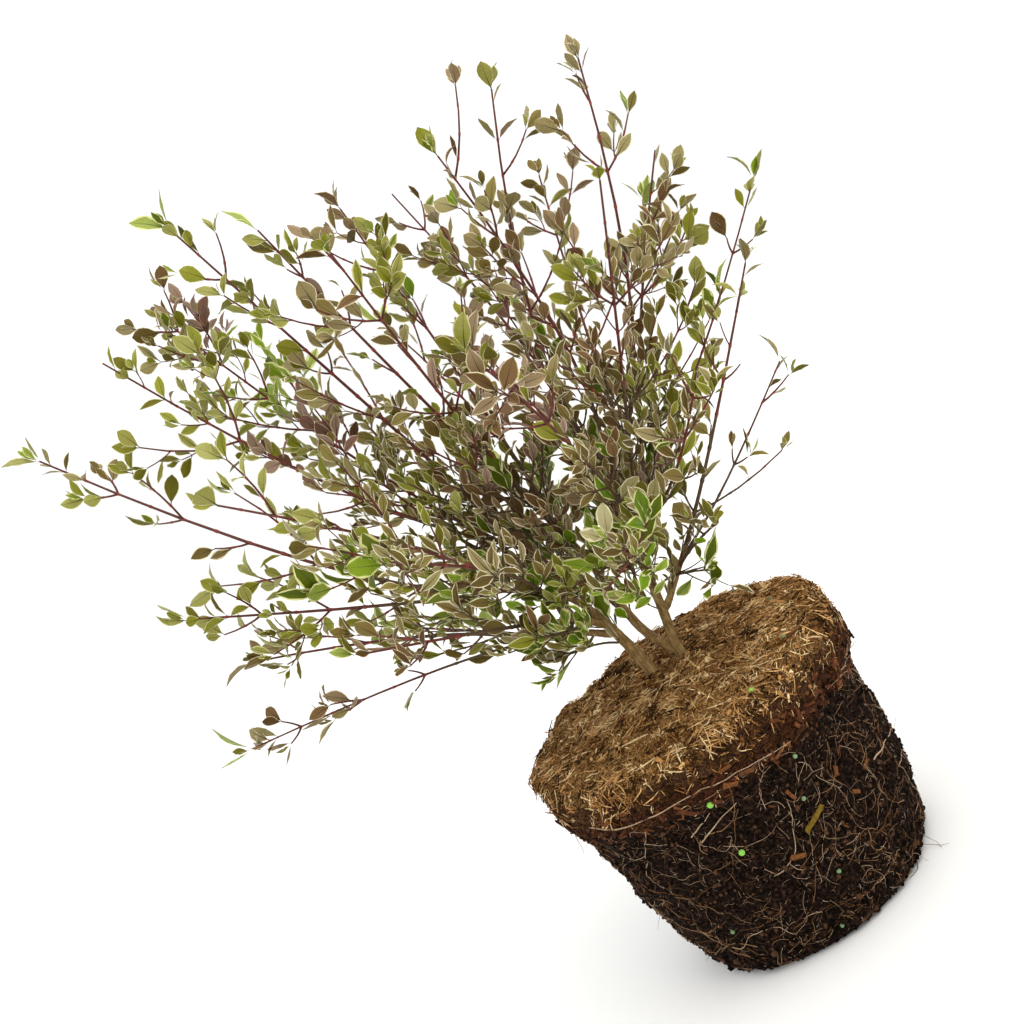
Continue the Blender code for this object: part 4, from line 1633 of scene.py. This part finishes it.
@dataclass
class RootBall:
    """Root ball: crumbly peat with roots, a ring of bark chips, and fibrous mulch.

    Attributes:
        steps: Steps round the ball.
        grain: Distance between corners along its outline, in millimetres.
        seed: Seed of its random draws.
    """

    steps: int = 330
    grain: float = 1.4
    seed: int = 5
    ways: list[float] = field(init=False)
    outline: list[tuple[float, float]] = field(init=False)
    rng: random.Random = field(init=False)

    def __post_init__(self) -> None:
        """Measures the outline."""
        self.rng = random.Random(self.seed)
        self.outline = [*BALL_PROFILE, (0.0, SOIL_TOP + 0.5)]
        self.ways = [0.0]
        for (r0, z0), (r1, z1) in zip(self.outline, self.outline[1:]):
            self.ways.append(self.ways[-1] + math.hypot(r1 - r0, z1 - z0))

    @property
    def length(self) -> float:
        """Length of the outline from the underside's rim to the middle of the mulch."""
        return self.ways[-1]

    def profile(self, way: float) -> tuple[float, float]:
        """Radius and height at a way along the outline."""
        radius = np.interp(way, self.ways, [corner[0] for corner in self.outline])
        height = np.interp(way, self.ways, [corner[1] for corner in self.outline])
        return float(radius), float(height)

    def relief(self, point: Vector) -> float:
        """Height of lumps and crumbs at a point, in millimetres."""
        lumps = noise.noise(point / 19) * 1.9
        clods = noise.noise(point / 7) * 1.6
        crumbs = noise.noise(point / 2.4) * 0.9
        tufts = noise.noise(point / 11) * 2.4 * min(1.0, max(0.0, point.z - 106) / 10)
        flat = min(1.0, point.z / 6)
        return (lumps + clods + crumbs + tufts) * (0.2 + 0.8 * flat)

    def at(self, way: float, azimuth: float, lift: float = 0.0) -> tuple[Vector, Vector, Vector]:
        """A place on the ball.

        Args:
            way: Way along the outline, in millimetres.
            azimuth: Radians from +X.
            lift: Height above the surface.

        Returns:
            Point, outward normal, and direction up the outline.
        """
        low, high = self.profile(way - 1.5), self.profile(way + 1.5)
        radius, height = self.profile(way)
        out = Vector((math.cos(azimuth), math.sin(azimuth), 0))
        up = (out * (high[0] - low[0]) + UP * (high[1] - low[1])).normalized()
        normal = Vector((-math.sin(azimuth), math.cos(azimuth), 0)).cross(up)
        point = out * radius + UP * height
        point += normal * (self.relief(point) + lift)
        point.z = max(point.z, 0.4)
        return point, normal, up

    def draw(self, zone: Zone) -> tuple[float, float]:
        """A random way and azimuth in a zone, evenly over its area."""
        while True:
            way = self.rng.uniform(zone.value[0], min(zone.value[1], self.length - 1))
            if self.rng.random() < self.profile(way)[0] / 81:
                return way, self.rng.uniform(-math.pi, math.pi)

    def lying(self, way: float, azimuth: float, spin: float, tilt: float, lift: float) -> Matrix:
        """Place of a small thing that lies on the ball, its own Z along the surface and Y out of it.

        Args:
            way: Way along the outline.
            azimuth: Radians from +X.
            spin: Its turn from straight up the outline, in radians.
            tilt: How far it stands up from the surface, in radians.
            lift: Height of its middle above the surface.

        Returns:
            The place.
        """
        point, normal, up = self.at(way, azimuth, lift)
        along = Matrix.Rotation(spin, 3, normal) @ up
        along = (along * math.cos(tilt) + normal * math.sin(tilt)).normalized()
        face = (normal - along * normal.dot(along)).normalized()
        place = Matrix((face.cross(along), face, along)).transposed().to_4x4()
        place.translation = point
        return place

    def core(self) -> None:
        """The ball itself: its outline spun about the axis and roughened."""
        count = int(self.length / self.grain)
        rim = BALL_PROFILE[0][0]
        floor = [(rim * index / 24, 0.0) for index in range(24)]
        side = [self.profile(self.length * index / count) for index in range(count + 1)]
        bm = bmesh.new()
        corners = [bm.verts.new((radius, 0, height)) for radius, height in floor + side]
        for lower, upper in zip(corners, corners[1:]):
            bm.edges.new((lower, upper))
        geom = bm.verts[:] + bm.edges[:]
        whole = {"axis": (0, 0, 1), "cent": (0, 0, 0), "angle": math.tau, "use_merge": True}
        bmesh.ops.spin(bm, geom=geom, steps=self.steps, **whole)
        bmesh.ops.remove_doubles(bm, verts=bm.verts, dist=0.02)
        bmesh.ops.recalc_face_normals(bm, faces=bm.faces)
        bm.normal_update()
        for corner in bm.verts:
            if corner.co.z > 0.01:
                corner.co += corner.normal * self.relief(corner.co)
                corner.co.z = max(corner.co.z, 0.0)
        mesh = mesh_from(bm, "soil")
        finished(mesh, "root_ball_soil", [SoilFinish().material("soil")], ["root_ball"])

    def sliver(self, length: float, radius: float, bend: float) -> bpy.types.Mesh:
        """A splinter of straw or a hair: a thin bent tube."""
        path = [Vector((0, 0, -length / 2)), Vector((bend, bend * 0.4, 0)), Vector((0, 0, length / 2))]
        return mesh_from(swept(path, [radius * 0.7, radius, radius * 0.5], 3), "sliver")

    def flake(self, length: float, width: float, thickness: float, cuts: int = 0) -> bpy.types.Mesh:
        """A chip of bark: a block with uneven corners, cut across a few times, and bevelled edges."""
        bm = bmesh.new()
        bmesh.ops.create_cube(bm, size=1.0)
        if cuts:
            sides = [edge for edge in bm.edges if abs(edge.verts[0].co.z - edge.verts[1].co.z) > 0.5]
            bmesh.ops.subdivide_edges(bm, edges=sides, cuts=cuts, use_grid_fill=True)
        for corner in bm.verts:
            corner.co.x *= width * self.rng.uniform(0.55, 1.15)
            corner.co.y *= thickness * self.rng.uniform(0.7, 1.2)
            corner.co.z *= length * self.rng.uniform(0.7, 1.15)
        edges = {"affect": "EDGES", "segments": 1, "profile": 0.5, "material": -1}
        bmesh.ops.bevel(bm, geom=bm.edges[:], offset=thickness * 0.22, **edges)
        return mesh_from(bm, "flake")

    def crumb(self) -> bpy.types.Mesh:
        """A crumb of peat: a knobbly ball of radius 1."""
        bm = bmesh.new()
        bmesh.ops.create_icosphere(bm, subdivisions=1, radius=1.0)
        for corner in bm.verts:
            corner.co *= self.rng.uniform(0.65, 1.25)
        return mesh_from(bm, "crumb")

    def strew(
        self,
        heap: Heap,
        shapes: Sequence[bpy.types.Mesh],
        scatter: Scatter,
        tilt: float,
        sizes: tuple[float, float],
        lift: float = 0.15,
    ) -> None:
        """Strews copies of shapes over a zone of the ball, in patches of lighter and darker tints.

        Args:
            heap: Takes the copies.
            shapes: Shapes to choose from.
            scatter: Where they go, how many, and their tints from light to dark.
            tilt: Spread of how far each stands up, in radians.
            sizes: Smallest and largest scale.
            lift: Height of their middles above the surface.
        """
        total = sum(scatter.weights)
        for index in range(scatter.count):
            way, azimuth = self.draw(scatter.zone)
            spin = self.rng.gauss(*scatter.spin)
            place = self.lying(way, azimuth, spin, self.rng.gauss(0, tilt), lift)
            tone = self.rng.random() - PATCHINESS * noise.noise(place.translation / PATCH_SIZE)
            tone = min(max(tone, 0.0), 0.999) * total
            slot = 0
            while tone > scatter.weights[slot]:
                tone -= scatter.weights[slot]
                slot += 1
            place = place @ Matrix.Scale(self.rng.uniform(*sizes), 4)
            shape = self.rng.choice(shapes)
            if place.translation.z < LOW_PLACE:
                place.translation.z -= min(0.0, *((place @ corner.co).z for corner in shape.vertices))
            heap.add(shape, place, slot)

    def piece(
        self, heap: Heap, name: str, tints: dict[str, str], roughness: float = 0.9, mottle: float = 0.35
    ) -> None:
        """Makes a piece from a heap.

        Args:
            heap: The heap.
            name: Name of the piece.
            tints: Colours of its slots by name, as sRGB hex.
            roughness: Their roughness.
            mottle: Share by which their light wanders.
        """
        materials = [
            PlainFinish(colour, roughness, 0.08, 0.0, mottle).material(f"{name}_{tint}")
            for tint, colour in tints.items()
        ]
        finished(heap.mesh(name), name, materials)

    def mulch(self) -> None:
        """Short dry fibres, in patches, with pads of straw."""
        draw = self.rng.uniform
        heap = Heap()
        long = [self.sliver(draw(4, 12), draw(0.2, 0.44), draw(-1.5, 1.5)) for index in range(14)]
        short = [self.sliver(draw(2, 5), draw(0.13, 0.3), draw(-0.7, 0.7)) for index in range(14)]
        self.strew(heap, long, Scatter(Zone.TOP, 1500, (1.5, 2.5, 2, 1.5, 0.7)), 0.24, (0.6, 1.15), 0.35)
        self.strew(heap, short, Scatter(Zone.TOP, 4000, (1, 2, 2.4, 2, 1)), 0.35, (0.7, 1.3), 0.3)
        self.strew(heap, short, Scatter(Zone.BAND, 1500, (0.3, 0.8, 1.6, 3, 2.4)), 0.3, (0.7, 1.3), 0.25)
        self.strew(heap, long, Scatter(Zone.BAND, 260, (1, 2, 2, 2, 1)), 0.15, (0.6, 1.0), 0.3)
        self.strew(heap, short, Scatter(Zone.RING, 500, (0.2, 0.6, 1.2, 3, 3)), 0.3, (0.7, 1.2), 0.2)
        for index in range(PAD_COUNT):
            way, azimuth = self.draw(Zone.TOP)
            self.pad(heap, long, (way, math.degrees(azimuth)), 45, PAD_SLOTS[index % len(PAD_SLOTS)])
        for place in STRAW_PADS:
            self.pad(heap, long, place, 90, (0, 1, 1, 2))
        for size in STEMS.values():
            foot = Vector(size["foot"])
            for index in range(60):
                away = draw(0, math.tau)
                spot = foot + Vector((math.cos(away), math.sin(away))) * draw(3.2, 8.5)
                where = (self.length - spot.length, math.atan2(spot.y, spot.x))
                place = self.lying(*where, draw(0, math.tau), 0, 0.8)
                heap.add(self.rng.choice(short), place, self.rng.choice((1, 2, 2, 3, 4)))
        for shape in (*long, *short):
            bpy.data.meshes.remove(shape)
        self.piece(heap, "mulch_straw", MULCH_TINTS)

    def pad(
        self,
        heap: Heap,
        shapes: Sequence[bpy.types.Mesh],
        place: tuple[float, float],
        count: int,
        slots: tuple[int, ...],
    ) -> None:
        """Adds a pad of fibres that lie roughly one way.

        Args:
            heap: Takes the fibres.
            shapes: Shapes to choose from.
            place: Way along the outline and degrees from +X.
            count: How many fibres it has.
            slots: Their tints, as slots to draw from.
        """
        draw = self.rng.uniform
        turn = draw(0, math.pi)
        for index in range(count):
            where = (place[0] + self.rng.gauss(0, 3.0), math.radians(place[1] + self.rng.gauss(0, 3.6)))
            heading = turn + self.rng.gauss(0, 0.6)
            lying = self.lying(*where, heading, self.rng.gauss(0.05, 0.2), draw(0.3, 1.4))
            shape = self.rng.choice(shapes)
            heap.add(shape, lying @ Matrix.Scale(draw(0.5, 0.85), 4), self.rng.choice(slots))

    def flakes(self) -> None:
        """Flat bits of bark and fibre in the mulch."""
        draw = self.rng.uniform
        heap = Heap()
        shapes = [self.flake(draw(2.5, 6), draw(1.2, 2.8), draw(0.4, 0.9)) for index in range(12)]
        self.strew(heap, shapes, Scatter(Zone.TOP, 480, (0.5, 1, 2, 3, 2)), 0.3, (0.5, 1.1))
        self.strew(heap, shapes, Scatter(Zone.BAND, 200, (0.2, 0.6, 1, 3, 3)), 0.3, (0.5, 0.9))
        for shape in shapes:
            bpy.data.meshes.remove(shape)
        self.piece(heap, "mulch_flakes", MULCH_TINTS)

    def chips(self) -> None:
        """Red-brown bark chips, most of them in the ring and lying along it."""
        draw = self.rng.uniform
        heap = Heap()
        shapes = [self.flake(draw(3.5, 8.5), draw(1.2, 2.8), draw(0.7, 1.4)) for index in range(12)]
        around = (math.pi / 2, 0.5)
        self.strew(heap, shapes, Scatter(Zone.RING, 420, (1, 2, 3, 4), around), 0.2, (0.5, 1.05))
        self.strew(heap, shapes, Scatter(Zone.PEAT, 110, (1, 1, 2, 3)), 0.2, (0.35, 0.8))
        for shape in shapes:
            bpy.data.meshes.remove(shape)
        for way, azimuth, spin, length, width in LOOSE_CHIPS:
            chip = self.flake(length, width, 1.1, 2)
            heap.add(chip, self.lying(way, math.radians(azimuth), math.radians(spin), 0.06, 0.5), 0)
            bpy.data.meshes.remove(chip)
        way, azimuth, spin, length, width = OCHRE_STICK
        stick = self.flake(length, width, 1.5, 4)
        heap.add(stick, self.lying(way, math.radians(azimuth), math.radians(spin), 0.05, 0.6), 4)
        bpy.data.meshes.remove(stick)
        self.piece(heap, "bark_chips", CHIP_TINTS)

    def crumbs(self) -> None:
        """Crumbs of peat that roughen the ball's outline."""
        heap = Heap()
        shapes = [self.crumb() for index in range(10)]
        self.strew(heap, shapes, Scatter(Zone.PEAT, 2600, (2, 3, 4)), 0.5, (0.4, 1.3), 0.1)
        self.strew(heap, shapes, Scatter(Zone.FOOT, 260, (1, 3, 6)), 0.5, (0.8, 1.9), 0.2)
        self.strew(heap, shapes, Scatter(Zone.RING, 260, (3, 3, 2)), 0.5, (0.4, 1.1), 0.1)
        self.strew(heap, shapes, Scatter(Zone.BAND, 320, (4, 3, 1)), 0.5, (0.4, 1.0), 0.1)
        for shape in shapes:
            bpy.data.meshes.remove(shape)
        self.piece(heap, "peat_crumbs", CRUMB_TINTS, 0.95)

    def walk(self, way: float, azimuth: float, heading: float, length: float, wander: float) -> list[Vector]:
        """A path that creeps over the ball.

        Args:
            way: Where it starts along the outline.
            azimuth: Where it starts round the ball.
            heading: Angle from straight up the outline.
            length: Its length.
            wander: Spread of its turn at each step.

        Returns:
            Points just above the surface.
        """
        path = []
        turn = 0.0
        for index in range(int(length / ROOT_STEP) + 3):
            path.append(self.at(way, azimuth, 0.2 + 0.3 * math.sin(index * 0.9))[0])
            turn = turn * 0.6 + self.rng.gauss(0, wander)
            heading += turn
            way = min(max(way + ROOT_STEP * math.cos(heading), 1.5), Zone.PEAT.value[1])
            azimuth += ROOT_STEP * math.sin(heading) / self.profile(way)[0]
        return path

    def thread(self, heap: Heap, path: list[Vector], radius: float, slot: int) -> None:
        """Adds a thin tapering root to a heap.

        Args:
            heap: The heap.
            path: Its axis.
            radius: Its thickest radius.
            slot: Its tint.
        """
        radii = [radius * (1 - 0.6 * index / len(path)) for index in range(len(path))]
        heap.take(swept(path, radii, 3, [slot] * (len(path) - 1)))

    def roots(self) -> None:
        """Roots that creep over the peat and fork, and some that stand off the ball."""
        heap = Heap()
        for kind in ROOT_KINDS:
            for index in range(kind.count):
                length = self.rng.uniform(*kind.lengths)
                radius = self.rng.uniform(*kind.radii)
                slot = self.rng.randrange(3)
                path = self.walk(*self.draw(Zone.PEAT), self.rng.uniform(0, math.tau), length, kind.wander)
                self.thread(heap, path, radius, slot)
                for fork in range(self.rng.randint(0, kind.forks)):
                    start = self.rng.choice(path[1:-1])
                    way = float(np.interp(start.z, [corner[1] for corner in BALL_PROFILE], self.ways[:-1]))
                    where = (way, math.atan2(start.y, start.x))
                    twig = self.walk(*where, self.rng.uniform(0, math.tau), length * 0.45, kind.wander)
                    self.thread(heap, twig, radius * 0.65, slot)
        for places in LONG_ROOTS:
            path = []
            for (way0, azimuth0), (way1, azimuth1) in zip(places, places[1:]):
                for index in range(9):
                    way = way0 + (way1 - way0) * index / 8
                    azimuth = math.radians(azimuth0 + (azimuth1 - azimuth0) * index / 8)
                    path.append(self.at(way, azimuth, 0.5)[0])
            self.thread(heap, path, 0.45, 1)
        strays = [(way, math.radians(azimuth)) for way, azimuth in STRAY_ROOTS]
        strays += [self.draw(Zone.PEAT) for index in range(16)]
        for way, azimuth in strays:
            self.thread(heap, self.stray(way, azimuth), self.rng.uniform(0.14, 0.3), self.rng.randrange(3))
        self.piece(heap, "fine_roots", ROOT_TINTS, 0.8)

    def stray(self, way: float, azimuth: float) -> list[Vector]:
        """Path of a root that stands off the ball, from a way and azimuth."""
        draw = self.rng.uniform
        point, normal, up = self.at(way, azimuth)
        heading = normal * draw(0.35, 0.8) + normal.cross(up) * draw(-1, 1) + up * draw(-0.8, 0.8)
        heading.normalize()
        path = [point - normal]
        for index in range(self.rng.randint(5, 10)):
            following = path[-1] + heading * 1.8
            following.z = max(following.z, 0.4)
            path.append(following)
            heading = (heading + Vector([self.rng.gauss(0, 0.2) for axis in range(3)])).normalized()
        return path

    def hairs(self) -> None:
        """Pale hairs of roots on the peat."""
        draw = self.rng.uniform
        heap = Heap()
        shapes = [self.sliver(draw(1.4, 4.2), draw(0.06, 0.13), draw(-0.6, 0.6)) for index in range(16)]
        self.strew(heap, shapes, Scatter(Zone.PEAT, 3000, (1, 2, 3)), 0.3, (0.6, 1.2), 0.25)
        for shape in shapes:
            bpy.data.meshes.remove(shape)
        self.piece(heap, "root_hairs", HAIR_TINTS, 0.8)

    def beads(self) -> None:
        """Round green beads of fertiliser."""
        bm = bmesh.new()
        bmesh.ops.create_uvsphere(bm, u_segments=12, v_segments=8, radius=1.0)
        shape = mesh_from(bm, "bead")
        heap = Heap()
        bright = [(way, math.radians(azimuth)) for way, azimuth in BRIGHT_BEADS]
        dull = [(way, math.radians(azimuth)) for way, azimuth in DULL_BEADS]
        for slot, (places, radius) in enumerate(((bright, 1.5), (dull, 1.1))):
            for way, azimuth in places:
                heap.add(shape, self.lying(way, azimuth, 0, 0, radius * 0.3) @ Matrix.Scale(radius, 4), slot)
        bpy.data.meshes.remove(shape)
        self.piece(heap, "fertiliser_beads", {"bright": "#84bf50", "dull": "#748f62"}, 0.4, 0.15)

    def build(self) -> None:
        """Makes every piece of the ball."""
        self.core()
        self.mulch()
        self.flakes()
        self.chips()
        self.crumbs()
        self.roots()
        self.hairs()
        self.beads()


@dataclass(frozen=True)
class Studio:
    """Pale floor, soft light, and the camera at the photograph's angle.

    Attributes:
        view: The photograph's view.
        lens: Focal length, in millimetres.
        sensor: Width of its sensor, in millimetres.
        floor_radius: Radius of the floor, in metres.
    """

    view: View = VIEW
    lens: float = 60.0
    sensor: float = 36.0
    floor_radius: float = 6.0

    def camera(self) -> None:
        """The camera."""
        right, up, back = self.view.axes()
        place = Matrix((right, up, back)).transposed().to_4x4()
        place.translation = (Vector(self.view.aim) + back * self.view.distance) * MM
        data = bpy.data.cameras.new("camera")
        data.lens = self.lens
        data.sensor_width = self.sensor
        data.clip_start = 0.01
        data.clip_end = 50.0
        camera = bpy.data.objects.new("camera", data)
        camera.matrix_world = place
        bpy.context.scene.collection.objects.link(camera)
        bpy.context.scene.camera = camera

    def lamp(
        self, name: str, direction: Vector, distance: float, size: float, power: float, colour: str
    ) -> None:
        """A square soft lamp that looks at the plant.

        Args:
            name: Its name.
            direction: Where it stands, seen from the plant.
            distance: How far off, in metres.
            size: Its side, in metres.
            power: Its power in watts.
            colour: Its colour as sRGB hex.
        """
        data = bpy.data.lights.new(name, "AREA")
        data.size = size
        data.energy = power
        data.color = linear(colour)[:3]
        lamp = bpy.data.objects.new(name, data)
        towards = direction.normalized()
        lamp.location = Vector(self.view.aim) * MM + towards * distance
        lamp.rotation_mode = "QUATERNION"
        lamp.rotation_quaternion = towards.to_track_quat("Z", "Y")
        bpy.context.scene.collection.objects.link(lamp)

    def floor(self) -> None:
        """A wide pale floor."""
        bm = bmesh.new()
        bmesh.ops.create_circle(bm, cap_ends=True, segments=64, radius=self.floor_radius)
        mesh = mesh_from(bm, "floor")
        mesh.materials.append(PlainFinish("#f4f4f2", 0.9, 0.1).material("floor"))
        floor = bpy.data.objects.new("floor", mesh)
        bpy.context.scene.collection.objects.link(floor)

    def build(self) -> None:
        """Makes floor, lights and camera."""
        self.floor()
        self.camera()
        right, up, back = self.view.axes()
        self.lamp("key", up + back * 0.75 - right * 0.1, 1.3, 1.0, 9.0, "#fffaf2")
        self.lamp("fill", back + UP * 0.3 - right * 0.6, 1.6, 1.4, 2.0, "#f5f8ff")
        self.lamp("rim", UP - back * 0.8 + right * 0.3, 1.5, 1.2, 4.0, "#ffffff")
        world = bpy.data.worlds.new("studio")
        world.use_nodes = True
        background = world.node_tree.nodes["Background"]
        background.inputs["Color"].default_value = (1, 1, 1, 1)
        background.inputs["Strength"].default_value = 1.12
        bpy.context.scene.world = world
        bpy.context.scene.view_settings.view_transform = "Standard"


def main() -> None:
    """Builds the pieces in order."""
    logging.basicConfig(level=logging.INFO, format="%(message)s")
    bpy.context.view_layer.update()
    skeleton = Skeleton()
    Wood(skeleton).build()
    Crown(skeleton).build()
    RootBall().build()
    Studio().build()


if __name__ == "__main__":
    main()
